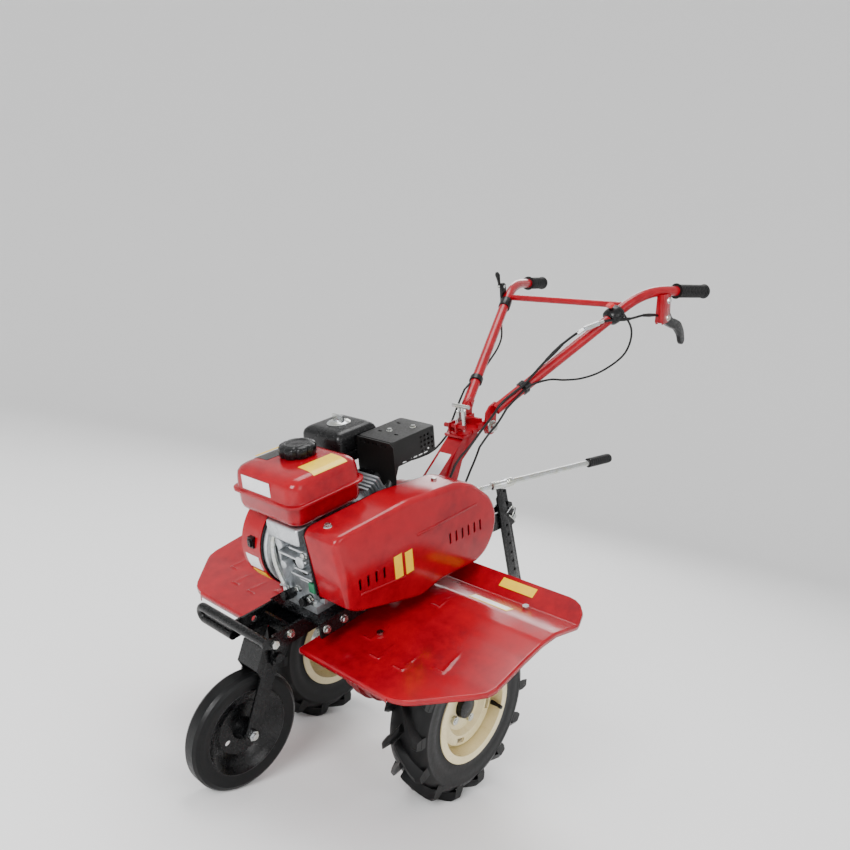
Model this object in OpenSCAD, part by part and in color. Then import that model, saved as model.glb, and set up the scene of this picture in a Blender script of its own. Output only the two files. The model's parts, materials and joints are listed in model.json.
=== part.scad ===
// Two-wheel walking cultivator: petrol engine on a channel frame, belt drive under a side
// cover, chain-and-gear case, lugged drive tyres, front wheel in a folding fork, sheet
// fenders and a handlebar that swings and tilts on a box column.
// Chassis coordinates: X to the machine's left, Y to the rear, Z up, zero on the drive axle.
// stand() puts the chassis on its three wheels, nose down, with the ground at Z = 0.

/* [Running gear] */
// Height of the drive axle, equal to the tyres' outer radius
axle_h = 205; // [200:1:210]
// Distance between the middles of the two drive tyres
tread = 454; // [446:1:470]
// Width of a drive tyre
tyre_w = 100; // [96:1:104]
// Outer radius of the drive rims' flanges
rim_r = 117; // [114:1:118]
// Number of lugs on each side of a drive tyre
lug_count = 14; // [12:1:16]
// Outer radius of the front wheel
nose_r = 123; // [120:1:124]
// Width of the front wheel
nose_w = 46; // [42:1:48]
// Distance of the front wheel's axle ahead of the drive axle
nose_reach = 410; // [405:1:415]
// Height of the front wheel's axle over the drive axle, chassis level
nose_rise = 98; // [94:1:102]

/* [Frame] */
// Outer width over the two frame rails
rail_w = 112; // [110:1:114]
// Height of the rails' top over the axle
rail_top = 300; // [299:1:301]
// Thickness of the rails' plate
rail_t = 6; // [5:1:6]
// Distance of the frame's front end ahead of the axle
rail_front = 340; // [338:1:344]
// Distance of the fork's fold pin ahead of the axle
fold_y = 330; // [328:1:332]
// Height of the fork's fold pin over the axle
fold_z = 240; // [238:1:242]

/* [Fenders] */
// Half width over the two fenders
fender_x = 455; // [450:1:470]
// Thickness of the fender sheet
fender_t = 2.5; // [2:0.5:3]

/* [Engine] */
// Height of the engine's foot over the axle
foot_z = 306; // [306:1:306]
// Sideways offset of the engine
engine_x = 24; // [22:1:26]
// Distance of the crankshaft ahead of the axle
crank_y = 163; // [162:1:164]
// Height of the crankshaft over the engine's foot
crank_h = 109; // [108:1:110]
// Slope of the cylinder over the horizontal
cylinder_tilt = 25; // [24:1:26]
// Radius of the cooling blower's housing
blower_r = 111; // [110:1:112]

/* [Drive] */
// Teeth of the pinion on the input shaft
pinion_teeth = 18; // [18:1:18]
// Teeth of the gear on the counter shaft
gear_teeth = 42; // [42:1:42]
// Module of the gear pair
gear_module = 3; // [3:0.5:3]
// Pitch radius of the axle's chain sprocket
axle_sprocket_r = 52; // [50:1:52]
// Outer radius of the engine's pulley
drive_pulley_r = 38; // [36:1:40]
// Outer radius of the gear case's pulley
case_pulley_r = 68; // [66:1:69]

/* [Handlebar] */
// Radius of the handlebar's tubes
bar_r = 14; // [13:0.5:14]
// Half distance between the tubes at the cross tube
bar_half = 200; // [190:1:210]
// Half distance between the ends of the grips
grip_half = 281; // [270:1:290]

/* [Hidden] */

$fn = 48;
clear = 0.3;        // gap between curved faces of pieces that touch
run = 0.05;         // radial running clearance of a shaft

// Stance: the chassis leans forward until the front wheel meets the ground
nose_arm = norm([nose_reach, nose_rise]);
stance = asin((axle_h - nose_r) / nose_arm) + atan2(nose_rise, nose_reach);

// Handlebar centreline, left side, from the lug to the end of the grip
bar_root = [38, 398, 540];
bar_bend = [bar_half + 8, 845, 768];
bar_level = [232, 925, 778];
bar_end = [grip_half, 1130, 745];
bar_start = bar_root + [9, 18, 9];
bar_dir = (bar_bend - bar_start) / norm(bar_bend - bar_start);
switch_d = 429;     // distance of the switch box up the bar

// Overall length over the ground, which puts the origin under the middle
function on_ground_y(y, z) = y * cos(stance) - z * sin(stance);
front_y = on_ground_y(-nose_reach, nose_rise) - nose_r;
rear_y = on_ground_y(bar_end[1], bar_end[2]) + 12;
mid_y = (front_y + rear_y) / 2;

// Shafts, as [y, z] in chassis coordinates
crank = [-crank_y, foot_z + crank_h];
input = [128, 386];
gear_gap = gear_module * (pinion_teeth + gear_teeth) / 2;
case_nose = [-32, 22];
case_dir = (case_nose - input) / norm(case_nose - input);
counter = input + gear_gap * case_dir;
idler = [-60, 490];
idler_pivot = [30, 470];
axle_shaft_r = 16;
input_r = 10;
counter_r = 11;
crank_r = 10;
counter_sprocket_r = axle_sprocket_r / 2;
case_half = 42;
case_wall = 6;
seat_x = 30;        // inner end of the bearing seats
seat_len = 14;
bearing_r = [26, 22, 22];
bearing_at = [[0, 0], counter, input];
bearing_bore = [axle_shaft_r, counter_r, input_r];

// Belt cover
cover_in = 98;
cover_out = 185;
cover_t = 2.5;
belt_x = 130;
belt_w = 30;

// Column and head
swing_y = 335;
column_top = 508;
tilt_pin = [402, 508];
column_half = 25;

// Hitch and depth stake
stake_lean = 10;
stake_root = [0, 500, 208];
stake_w = 20;
stake_hole = [stake_root[1], stake_root[2]];

module stand() { translate([0, -mid_y, axle_h]) rotate([stance, 0, 0]) children(); }
module wheels() { translate([0, -mid_y, axle_h]) children(); }
module plate_x(x0, x1) { translate([x0, 0, 0]) rotate([90, 0, 90]) linear_extrude(x1 - x0) children(); }
module rod_x(p, r, x0, x1) {
    translate([x0, p[0], p[1]]) rotate([0, 90, 0]) cylinder(r = r, h = x1 - x0);
}
module hex_x(p, r, x0, x1) {
    translate([x0, p[0], p[1]]) rotate([0, 90, 0]) cylinder(r = r, h = x1 - x0, $fn = 6);
}
module rod(p, q, r) {
    d = q - p;
    translate(p) rotate([0, acos(d[2] / norm(d)), atan2(d[1], d[0])]) cylinder(r = r, h = norm(d));
}
module rod_chain(path, r) {
    for (i = [0 : len(path) - 2]) rod(path[i], path[i + 1], r);
    for (i = [1 : len(path) - 2]) translate(path[i]) sphere(r = r + 1);
}
// Two circles and the band between their common tangents, drawn a hair inside them
module link2d(p, rp, q, rq) {
    hair = 0.05;
    d = q - p;
    a = atan2(d[1], d[0]);
    b = acos((rp - rq) / norm(d));
    u = [cos(a + b), sin(a + b)];
    v = [cos(a - b), sin(a - b)];
    translate(p) circle(r = rp);
    translate(q) circle(r = rq);
    polygon([p + (rp - hair) * u, p + (rp - hair) * v, q + (rq - hair) * v, q + (rq - hair) * u]);
}
module round_rect(w, d, r) {
    square([w - 2 * r, d], center = true);
    square([w, d - 2 * r], center = true);
    for (sx = [-1, 1], sy = [-1, 1]) translate([sx * (w / 2 - r), sy * (d / 2 - r)]) circle(r = r);
}
module both_sides() {
    children();
    mirror([1, 0, 0]) children();
}
module ring_x(ro, ri, x0, x1) {
    difference() {
        rod_x([0, 0], ro, x0, x1);
        rod_x([0, 0], ri, x0 - 1, x1 + 1);
    }
}

// A round cord of eight sides through hand-placed points, smoothed between them
function spline(p, i, t) =
    let (a = p[max(i - 1, 0)], b = p[i], c = p[i + 1], d = p[min(i + 2, len(p) - 1)])
    0.5 * (2 * b + (c - a) * t + (2 * a - 5 * b + 4 * c - d) * t * t
        + (3 * b - a - 3 * c + d) * t * t * t);
function smooth(p, n) = [for (i = [0 : len(p) - 2], k = [0 : n - 1]) spline(p, i, k / n), p[len(p) - 1]];
function unit(v) = v / norm(v);
function heading(p, i) = unit(p[min(i + 1, len(p) - 1)] - p[max(i - 1, 0)]);
function sideways(d) = unit(cross(d, [0.31, 0.17, 0.93]));
module cord(points, r, n) {
    p = smooth(points, n);
    rings = [for (i = [0 : len(p) - 1]) let (d = heading(p, i), u = sideways(d), v = cross(d, u))
        for (k = [0 : 7]) p[i] + r * (cos(k * 45) * u + sin(k * 45) * v)];
    last = len(p) - 1;
    faces = concat([[for (k = [0 : 7]) k]], [[for (k = [7 : -1 : 0]) last * 8 + k]],
        [for (i = [0 : last - 1], k = [0 : 7])
            [i * 8 + k, (i + 1) * 8 + k, (i + 1) * 8 + (k + 1) % 8, i * 8 + (k + 1) % 8]]);
    polyhedron(rings, faces);
}

// ---- Frame ----
module base_frame() { color("#17181a") stand() {
    half = rail_w / 2;
    difference() {
        union() {
            both_sides() {
                plate_x(half - rail_t, half) difference() {
                    polygon([[-rail_front, rail_top], [-rail_front, 262], [60, 262], [74, 276],
                        [74, rail_top]]);
                    for (y = [-312, -180]) translate([y, 284]) circle(r = 6.5);
                }
                translate([half - 21, -rail_front, 262]) cube([15.5, 130, rail_t]);
                plate_x(36, 44) difference() {
                    polygon([[-rail_front, 262.5], [-fold_y - 14, 226], [-fold_y + 14, 226], [-290, 262.5]]);
                    translate([-fold_y, fold_z]) circle(r = 6 + run);
                }
            }
            translate([-half + 0.5, -291, 262]) cube([rail_w - 1, rail_t, 30]);
            translate([-half + 0.5, -205, 262]) cube([rail_w - 1, rail_t, 38]);
            translate([-36, -291, 262]) cube([72, 90, 4]);
            difference() {
                union() {
                    translate([-54, -264, rail_top]) cube([146, 228, rail_t]);
                    translate([90, -264, rail_top]) cube([20, 140, rail_t]);
                }
                translate([-10, -192, rail_top - 1]) cube([68, 90, rail_t + 2]);
            }
            translate([104, -264, 272]) cube([6, 140, 28.5]);
        }
        for (y = foot_y, x = foot_x) translate([x, y, rail_top - 1]) cylinder(r = 5.2, h = rail_t + 2);
        for (y = [-44, 40]) rod_x([y, 281], 5.2, -70, 70);
    }
} }
module bumper_lug() { plate_x(rail_w / 2 + 0.1, rail_w / 2 + 6) link2d([-345, 287], 12, [-362, 293], 9); }
module front_bumper() { color("#141516") stand() {
    top = 297;
    low = 268;
    out = -158;
    mid = (top + low) / 2;
    turn = (top - low) / 2;
    translate([62, -362, top]) rotate([0, -90, 0]) cylinder(r = 9.5, h = 62 - out);
    translate([-56, -362, low]) rotate([0, -90, 0]) cylinder(r = 9.5, h = -56 - out);
    translate([out, -362, mid]) rotate([90, 0, 0]) difference() {
        rotate_extrude() translate([turn, 0]) circle(r = 9.5);
        translate([0, -40, -20]) cube([40, 80, 40]);
    }
    translate([-62, -362, low - 9]) cube([6, 30, 38]);
    bumper_lug();
} }

// ---- Gear case ----
module case_outline(grow) {
    link2d(case_nose, 72 + grow, [0, 0], 66 + grow);
    link2d([0, 0], 66 + grow, counter, 76 + grow);
    link2d(counter, 76 + grow, input, 52 + grow);
}
module case_half_shell() {
    difference() {
        union() {
            plate_x(0.1, case_half) case_outline(0);
            plate_x(0.1, 12) case_outline(6);
            for (i = [0 : 2]) rod_x(bearing_at[i], bearing_r[i] + 6, 40, case_half + 5);
            for (y = [-44, 40]) rod_x([y, 281], 12, 38, rail_w / 2 - rail_t - 0.1);
            plate_x(24, 40) link2d([-44, 281], 13, [60, 281], 18);
        }
        difference() {
            plate_x(-1, case_half - case_wall) case_outline(-case_wall);
            for (i = [0 : 2]) rod_x(bearing_at[i], bearing_r[i] + 5, seat_x - 2, case_half);
        }
        for (i = [0 : 2]) {
            rod_x(bearing_at[i], bearing_r[i], seat_x - 3, seat_x + seat_len);
            rod_x(bearing_at[i], bearing_bore[i] + 2, 0, 60);
        }
        for (y = [-44, 40]) rod_x([y, 281], 5.2, 37, 60);
    }
}
module gear_case_left() { color("#a8101e") stand() case_half_shell(); }
module gear_case_right() { color("#a00f1d") stand() mirror([1, 0, 0]) case_half_shell(); }
module shaft_bearings() { color("#b8bcc0") stand() both_sides() for (i = [0 : 2])
    translate([0, bearing_at[i][0], bearing_at[i][1]])
        ring_x(bearing_r[i], bearing_bore[i] + run, seat_x, seat_x + seat_len);
}
// Chain loop, drawn as a band just clear of both sprockets
module drive_chain() { color("#5a5c60") stand() plate_x(-17, -11) difference() {
    link2d([0, 0], axle_sprocket_r + 6, counter, counter_sprocket_r + 6);
    link2d([0, 0], axle_sprocket_r + 0.5, counter, counter_sprocket_r + 0.5);
} }
module toothed(teeth, m, w, phase) {
    r = m * teeth / 2;
    step = 360 / teeth;
    linear_extrude(w) polygon([for (i = [0 : teeth - 1]) let (a = phase + i * step)
        for (c = [[-0.30, r - 1.2 * m], [-0.13, r + 0.9 * m], [0.13, r + 0.9 * m], [0.30, r - 1.2 * m]])
            c[1] * [cos(a + c[0] * step), sin(a + c[0] * step)]]);
}
module gear_x(p, teeth, x0, w, phase) {
    translate([x0, p[0], p[1]]) rotate([90, 0, 90]) toothed(teeth, gear_module, w, phase);
}
mesh_angle = atan2(counter[1] - input[1], counter[0] - input[0]);
module axle_shaft() { color("#8d9196") stand() {
    rod_x([0, 0], axle_shaft_r, -249, 249);
    rod_x([0, 0], axle_sprocket_r, -17, -11);
    rod_x([0, 0], 26, -22, -6);
} }
module counter_gear() { color("#8d9196") stand() {
    rod_x(counter, counter_r, -43, 43);
    rod_x(counter, counter_sprocket_r, -17, -11);
    gear_x(counter, gear_teeth, 2, 16, mesh_angle + 180 + 180 / gear_teeth);
} }
module input_shaft() { color("#9da1a6") stand() {
    rod_x(input, input_r, -43, 152);
    gear_x(input, pinion_teeth, 2, 16, mesh_angle);
} }

// ---- Drive wheels ----
module tyre_body() {
    half = tyre_w / 2;
    difference() {
        rotate([0, 90, 0]) rotate_extrude() difference() {
            polygon([[104, -44.7], [118, -44.7], [140, -half], [168, -half + 2], [182, -half + 12], [188, 0],
                [182, half - 12], [168, half - 2], [140, half], [118, 44.7], [104, 44.7]]);
            polygon([[103, -32], [122, -34], [162, -38], [173, -28], [176, 0],
                [173, 28], [162, 38], [122, 34], [103, 32]]);
        }
    }
    intersection() {
        for (s = [-1, 1], i = [0 : lug_count - 1])
            rotate([(i + (s > 0 ? 0 : 0.5)) * 360 / lug_count, 0, 0]) translate([s * 26, 0, -192])
                rotate([0, 0, s * 38]) cube([62, 20, 34], center = true);
        rotate([0, 90, 0]) difference() {
            cylinder(r = axle_h, h = tyre_w, center = true, $fn = 96);
            cylinder(r = 177, h = tyre_w + 2, center = true, $fn = 96);
        }
    }
}
module tyre_left() { color("#1b1c1d") wheels() translate([tread / 2, 0, 0]) tyre_body(); }
module tyre_right() { color("#1b1c1d") wheels() translate([-tread / 2, 0, 0]) tyre_body(); }
module rim_body() {
    difference() {
        rotate([0, 90, 0]) rotate_extrude() polygon([[20, 8], [58, 8], [66, 20], [84, 20], [92, 8], [100, 0],
            [100, -48], [rim_r, -48], [rim_r, -45], [104, -45], [104, 45], [rim_r, 45], [rim_r, 48],
            [100, 48], [100, 6], [94, 13], [86, 25], [64, 25], [56, 13], [20, 13]]);
        for (i = [0 : 3]) rotate([i * 90 + 45, 0, 0]) translate([0, 40, 0]) rod_x([0, 0], 5.2, 0, 30);
        for (i = [0 : 3]) rotate([i * 90, 0, 0]) translate([22, 75, 0]) cube([20, 11, 26], center = true);
    }
}
module wheel_rims() { color("#e8dcb4") wheels() both_sides() translate([tread / 2, 0, 0]) rim_body(); }
module hub_body() {
    face = tread / 2 + 8;
    difference() {
        union() {
            rod_x([0, 0], 24, 96, face - 7);
            rod_x([0, 0], 56, face - 8, face);
            rod_x([0, 0], 19.5, face - 1, face + 16);
        }
        rod_x([0, 0], axle_shaft_r + run, 90, 270);
        for (i = [0 : 3]) rotate([i * 90 + 45, 0, 0]) translate([0, 40, 0])
            rod_x([0, 0], 5.2, face - 20, face + 20);
    }
    for (i = [0 : 3]) rotate([i * 90 + 45, 0, 0]) translate([0, 40, 0]) {
        rod_x([0, 0], 5, face - 18, face + 14);
        hex_x([0, 0], 10, face - 16, face - 8);
        hex_x([0, 0], 10, face + 5, face + 13);
    }
}
module wheel_hubs() { color("#c3c6c9") wheels() both_sides() hub_body(); }

// ---- Front wheel ----
nose = [-nose_reach, nose_rise];
module front_fork() { color("#151617") stand() {
    dir = unit(nose - [-fold_y, fold_z]);
    side = [-dir[1], dir[0]];
    top = [-353, 268];
    both_sides() plate_x(28, 33) difference() {
        union() {
            link2d([-fold_y, fold_z], 20, nose, 15);
            polygon([top, [-fold_y + 8, 252], top + 66 * dir + 22 * side, top + 47 * dir]);
        }
        translate(nose) circle(r = 6.1);
    }
    plate_x(-33, 33) polygon([top, top + 5 * side, top + 47 * dir + 5 * side, top + 47 * dir]);
    rod_x([-fold_y, fold_z], 6, -50, 50);
    both_sides() hex_x([-fold_y, fold_z], 11, 44.4, 51);
} }
module front_axle() { color("#c3c6c9") stand() {
    rod_x(nose, 6, -46, 46);
    both_sides() {
        hex_x(nose, 11, 33.3, 41);
        rod_x(nose, 10, 24.3, 27.7);
    }
} }
module front_rim() { color("#1a1b1d") stand() translate([0, nose[0], nose[1]]) difference() {
    rotate([0, 90, 0]) rotate_extrude() polygon([[6.05, -24], [20, -24], [20, -3], [84, -3], [84, -17],
        [88, -17],
        [88, 17], [84, 17], [84, 3], [20, 3], [20, 24], [6.05, 24]]);
    for (i = [0 : 5]) rotate([i * 60, 0, 0]) rod_x([52, 0], 11, -10, 10);
} }
module front_tyre() { color("#1d1e1f") stand() translate([0, nose[0], nose[1]]) rotate([0, 90, 0])
    rotate_extrude($fn = 96) polygon([[88, -19], [104, -nose_w / 2 + 1], [112, -nose_w / 2],
        [119, -nose_w / 2 + 4],
        [nose_r, -12], [nose_r, 12], [119, nose_w / 2 - 4], [112, nose_w / 2],
        [104, nose_w / 2 - 1], [88, 19]]);
}

// ---- Engine ----
case_x0 = -42;
case_x1 = 72;
head_d = 127;       // distance of the head's joint from the crankshaft
foot_x = [engine_x - 38, engine_x + 38];
foot_y = [-235, -60];
module crankcase() { color("#c9cdd0") stand() difference() {
    union() {
        plate_x(case_x0, case_x1) case_side(0);
        translate([engine_x - 54, -244, foot_z]) cube([108, 195, 16]);
        plate_x(case_x0 - 6, case_x0 + 2) translate(crank) circle(r = 84);
        on_cylinder(60) cylinder(r = 40, h = head_d - 60);
    }
    plate_x(case_x0 + 10, case_x1 + 1) case_side(10);
    rod_x(crank, 19, -60, 40);
    on_cylinder(30) cylinder(r = 34, h = 140);
    for (y = foot_y, x = foot_x) translate([x, y, foot_z - 1]) cylinder(r = 4.6, h = 40);
    plate_x(case_x0 - 7, case_x0 + 1) translate(crank) circle(r = 60);
} }
// Outline of the crankcase seen from the side, drawn in by a wall thickness
module case_side(wall) {
    polygon([[-226 + wall, foot_z + 10 + wall], [-226 + wall, 440], [-212 + wall, 482 - wall / 2],
        [-190 + wall / 2, 496 - wall], [-96, 496 - wall], [-58 - wall, 480 - wall / 2], [-42 - wall, 430],
        [-72 - wall, foot_z + 10 + wall]]);
}
// Places things square to the sloping bore, at a distance from the crankshaft
module on_cylinder(d) {
    translate([engine_x - 8, crank[0], crank[1]]) rotate([cylinder_tilt - 90, 0, 0])
        translate([0, 0, d]) children();
}
module crankcase_cover() { color("#d2d5d7") stand() difference() {
    union() {
        plate_x(case_x1 + 0.1, case_x1 + 12) intersection() {
            case_side(0);
            translate([-300, foot_z + 17]) square([300, 300]);
        }
        rod_x(crank, 34, case_x1 + 6, case_x1 + 20);
    }
    rod_x(crank, crank_r + run, case_x1 - 1, case_x1 + 30);
} }
module cylinder_head() { color("#a9adb0") stand() difference() {
    union() {
        on_cylinder(head_d + 0.1) translate([-40, -40, 0]) cube([80, 80, 48]);
        for (d = [head_d + 2 : 9 : head_d + 42]) on_cylinder(d) translate([-54, -48, 0]) cube([108, 96, 4]);
        on_cylinder(head_d + 24) translate([38, -14, 0]) cube([15.9, 28, 24]);
    }
    on_cylinder(head_d - 2) cylinder(r = 34, h = 20);
    on_cylinder(head_d + 30) translate([-20, -24, 0]) cube([40, 48, 30]);
} }
module valve_cover() { color("#202224") stand() on_cylinder(head_d + 48.2) difference() {
    linear_extrude(26) round_rect(72, 72, 14);
    translate([0, 0, -1]) linear_extrude(24) round_rect(64, 64, 10);
} }
module blower_housing() { color("#c01226") stand() difference() {
    plate_x(-112, case_x0 - 6.1) blower_side(0);
    plate_x(-109.5, case_x0) blower_side(2.5);
    rod_x(crank, 62, -120, -100);
    translate([-84, crank[0] - blower_r - 5, 426]) cube([19, 20, 25]);
} }
// Side outline of the blower housing: a drum cut flat under the tank, with a duct to the fins
module blower_side(wall) {
    intersection() {
        union() {
            translate(crank) circle(r = blower_r - wall);
            translate(crank) rotate(cylinder_tilt) translate([0, -60 + wall])
                square([112 - wall, 108 - 2 * wall]);
        }
        translate([-300, 306.2 + wall]) square([400, 193.8 - 2 * wall]);
    }
}
module recoil_cover() { color("#a80f1f") stand() difference() {
    translate([-112.1, crank[0], crank[1]]) rotate([0, -90, 0]) rotate_extrude()
        polygon([[0, 34], [52, 34], [70, 26], [78, 14], [80, 0], [77, 0], [75, 13], [68, 23.5],
            [51, 31], [0, 31]]);
    for (i = [0 : 11]) translate([-160, crank[0], crank[1]]) rotate([i * 30, 0, 0])
        translate([0, 44, -4]) cube([60, 20, 8]);
    translate([-138, crank[0] + 50, crank[1] - 9]) cube([18, 40, 18]);
} }
module starter_grip() { color("#141516") stand() {
    translate([-129, crank[0] + 76, crank[1]]) rotate([0, 90, 90]) cylinder(r = 6, h = 22);
    translate([-129, crank[0] + 97, crank[1]]) rotate([0, 90, 90]) cylinder(r = 9, h = 15);
    translate([-129, crank[0] + 112, crank[1] - 26]) cylinder(r = 8, h = 52);
} }
module engine_switch() { color("#1f2a27") stand() {
    translate([-83, crank[0] - blower_r - 3, 427]) cube([17, 11, 23]);
    translate([-79, crank[0] - blower_r - 7, 431]) cube([9, 6, 15]);
} }
module crankshaft() { color("#b5b8bc") stand() {
    rod_x(crank, crank_r, case_x1 - 10, 152);
    rod_x(crank, 18.9, -58, -27);
    rod_x(crank, 8, -96, -50);
    for (x = [-28, 30]) plate_x(x, x + 14) link2d(crank + [0, 26], 17, crank + [0, -18], 28);
    rod_x(crank + [0, 27], 13, -15, 31);
    rod_x(crank, 14, 43, 64);
} }
module flywheel() { color("#9ea2a6") stand() difference() {
    union() {
        rod_x(crank, 78, -72, -58.3);
        for (i = [0 : 11]) translate([-92, crank[0], crank[1]]) rotate([i * 30, 0, 0])
            translate([0, 46, -2]) cube([21, 32, 4]);
    }
    rod_x(crank, 8, -100, -50);
} }
module tank_plan(inset, r) { translate([-16, -177]) round_rect(216 - 2 * inset, 200 - 2 * inset, r); }
module fuel_tank() { color("#c8142a") stand() difference() {
    union() {
        translate([0, 0, 550]) linear_extrude(5) tank_plan(0, 30);
        translate([0, 0, 508]) linear_extrude(43) tank_plan(8, 26);
        translate([0, 0, 503]) linear_extrude(6) tank_plan(14, 22);
        translate([0, 0, 554]) linear_extrude(40) tank_plan(8, 26);
        translate([0, 0, 593]) linear_extrude(8) tank_plan(13, 24);
        translate([0, 0, 600]) linear_extrude(5) tank_plan(20, 22);
        translate([-30, -158, 604]) cylinder(r = 27, h = 8);
    }
    translate([0, 0, 511]) linear_extrude(82) tank_plan(11, 23);
    translate([0, 0, 592.5]) linear_extrude(7.5) tank_plan(16, 21);
    translate([-30, -158, 590]) cylinder(r = 22, h = 40);
} }
module fuel_cap() { color("#151617") stand() translate([-30, -158, 0]) {
    translate([0, 0, 612.3]) cylinder(r = 36, h = 18);
    translate([0, 0, 612.3]) for (i = [0 : 5]) rotate([0, 0, i * 60]) translate([34, 0, 0])
        cylinder(r = 6, h = 16);
    translate([0, 0, 598]) cylinder(r = 21.9, h = 15);
} }
module air_filter_base() { color("#23282a") stand() difference() {
    union() {
        translate([-150, -62, 548]) cube([136, 130, 12]);
        translate([-100, -52, 520]) cube([60, 50, 29]);
    }
    translate([-68, -31, 500]) cylinder(r = 13, h = 80);
} }
module air_filter_cover() { color("#131415") stand() difference() {
    translate([-82, 3, 560.1]) union() {
        linear_extrude(50) round_rect(132, 126, 10);
        translate([0, 0, 49]) linear_extrude(8) round_rect(118, 112, 12);
    }
    translate([-82, 3, 560]) linear_extrude(46) round_rect(126, 120, 8);
    translate([-82, 3, 605]) linear_extrude(9) round_rect(110, 104, 10);
    translate([-82, 3, 550]) cylinder(r = 4, h = 90);
} }
module filter_nut() { color("#c6cacd") stand() translate([-82, 3, 0]) {
    translate([0, 0, 617.4]) cylinder(r = 22, h = 3);
    translate([0, 0, 620]) cylinder(r = 9, h = 9);
    translate([-18, -2.5, 624]) cube([36, 5, 12]);
    translate([0, 0, 560.5]) cylinder(r = 4 - run, h = 60);
} }
module carburettor() { color("#9fa3a6") stand() {
    difference() {
        translate([-88, -50, 466]) cube([40, 38, 53.9]);
        translate([-68, -31, 476]) cylinder(r = 12, h = 60);
    }
    translate([-68, -29, 446]) cylinder(r = 16, h = 20.5);
    translate([-49, -40, 478]) cube([10.9, 18, 18]);
} }
module muffler() { color("#1b1c1d") stand() difference() {
    union() {
        translate([0, 8, 546]) cube([78, 112, 46]);
        translate([30, 119, 568]) rotate([-90, 0, 0]) cylinder(r = 13, h = 12);
        rod([82, -18, 490], [66, 30, 550], 9);
        rod_x([-18, 490], 9, 70.2, 82);
        translate([82, -18, 490]) sphere(r = 10);
    }
    translate([3, 11, 549]) cube([72, 106, 40]);
    translate([30, 110, 568]) rotate([-90, 0, 0]) cylinder(r = 10, h = 30);
    rod([81, -15, 494], [66, 30, 552], 6);
} }
module muffler_guard() { color("#121314") stand() difference() {
    union() {
        translate([-14, -4, 545]) cube([2.5, 138, 58]);
        translate([90, -4, 523]) cube([2.5, 138, 80]);
        translate([-14, -4, 600.5]) cube([106.5, 138, 2.5]);
        translate([-14, -4, 560]) cube([106.5, 2.5, 43]);
        translate([90, -4, 478]) cube([2.5, 46, 46]);
        translate([-12, 60, 592.1]) cube([103, 12, 9]);
    }
    for (i = [0 : 6]) translate([i * 13, -10, 594]) rotate([-90, 0, 0])
        cylinder(r = 3.5, h = 20, $fn = 24);
    for (i = [0 : 4], j = [0 : 1]) translate([4 + i * 18, 20 + j * 60, 590]) cube([10, 32, 20]);
    for (i = [0 : 3], j = [0 : 3]) rod_x([80 + i * 13, 540 + j * 13], 4, 85, 100, $fn = 24);
} }

// ---- Belt drive ----
module cover_outline(inset) {
    polygon([[-252 + inset, 362 + inset], [-266 + inset, 500 - inset * 0.4], [-262 + inset, 509 - inset],
        [-252 + inset, 514 - inset], [-60, 516 - inset], [104, 495 - inset], [150 - inset * 0.5, 474 - inset],
        [206 - inset, 424 - inset * 0.3], [222 - inset, 396], [228 - inset, 360],
        [214 - inset, 321 + inset * 0.5],
        [186 - inset * 0.5, 292 + inset], [150, 279 + inset], [20, 291 + inset], [-49, 284 + inset],
        [-230 + inset, 342 + inset], [-246 + inset, 350 + inset]]);
}
module belt_cover() { color("#b50f20") stand() difference() {
    union() {
        plate_x(cover_in, cover_out - 7) cover_outline(0);
        plate_x(cover_out - 7.5, cover_out - 2.5) cover_outline(4);
        plate_x(cover_out - 3, cover_out) cover_outline(10);
    }
    plate_x(cover_in - 1, cover_out - 9) cover_outline(cover_t);
    plate_x(cover_out - 9.5, cover_out - cover_t) cover_outline(12);
    for (i = [0 : 3]) plate_x(cover_out - 15, cover_out + 5)
        translate([-212 + i * 22, 387 - i * 1.5]) link2d([0, 0], 3.2, [0, 18], 3.2);
    for (i = [0 : 5]) plate_x(cover_out - 15, cover_out + 5)
        translate([56 + i * 21, 369 - i * 2]) link2d([0, 0], 3.2, [0, 20], 3.2);
    translate([118, -60, 510]) cube([12, 22, 20]);
} }
module belt_backplate() { color("#1a1b1c") stand() difference() {
    union() {
        plate_x(cover_in - 4, cover_in - 0.2) cover_outline(0.5);
        translate([88, -180, 306.2]) cube([9.8, 50, 60]);
    }
    rod_x(crank, 36, 80, 110);
    rod_x(input, 24, 80, 110);
    rod_x(idler_pivot, 6.4 + run, 80, 110);
} }
module grooved(r, x0, w) {
    rotate([0, 90, 0]) rotate_extrude() polygon([[8, x0], [r, x0], [r - 9, x0 + w * 0.2], [r, x0 + w * 0.4],
        [r, x0 + w * 0.6], [r - 9, x0 + w * 0.8], [r, x0 + w], [8, x0 + w]]);
}
module pulley(p, r, bore) { translate([0, p[0], p[1]]) difference() {
    union() {
        grooved(r, belt_x - belt_w / 2, belt_w);
        hex_x([0, 0], bore + 9, belt_x + belt_w / 2 - 1, 153);
    }
    rod_x([0, 0], bore, belt_x - 30, belt_x + 30);
} }
module engine_pulley() { color("#6e7276") stand() pulley(crank, drive_pulley_r, crank_r); }
module gearbox_pulley() { color("#6e7276") stand() pulley(input, case_pulley_r, input_r); }
module drive_belt() { color("#1c1c1c") stand() plate_x(belt_x - 14, belt_x + 14) difference() {
    link2d(crank, drive_pulley_r + 7, input, case_pulley_r + 7);
    link2d(crank, drive_pulley_r + 0.5, input, case_pulley_r + 0.5);
} }
module idler_arm() { color("#2a2c2e") stand() difference() {
    union() {
        plate_x(102, 108) link2d(idler_pivot, 13, idler, 11);
        rod_x(idler_pivot, 6.4, 90, 108);
        rod_x(idler, 5, 104, 148);
    }
    rod_x(idler_pivot, 2, 80, 110);
} }
module idler_roller() { color("#777b7f") stand() translate([0, idler[0], idler[1]]) difference() {
    rod_x([0, 0], 14, 112, 146);
    rod_x([0, 0], 5 + run, 110, 150);
} }

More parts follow.
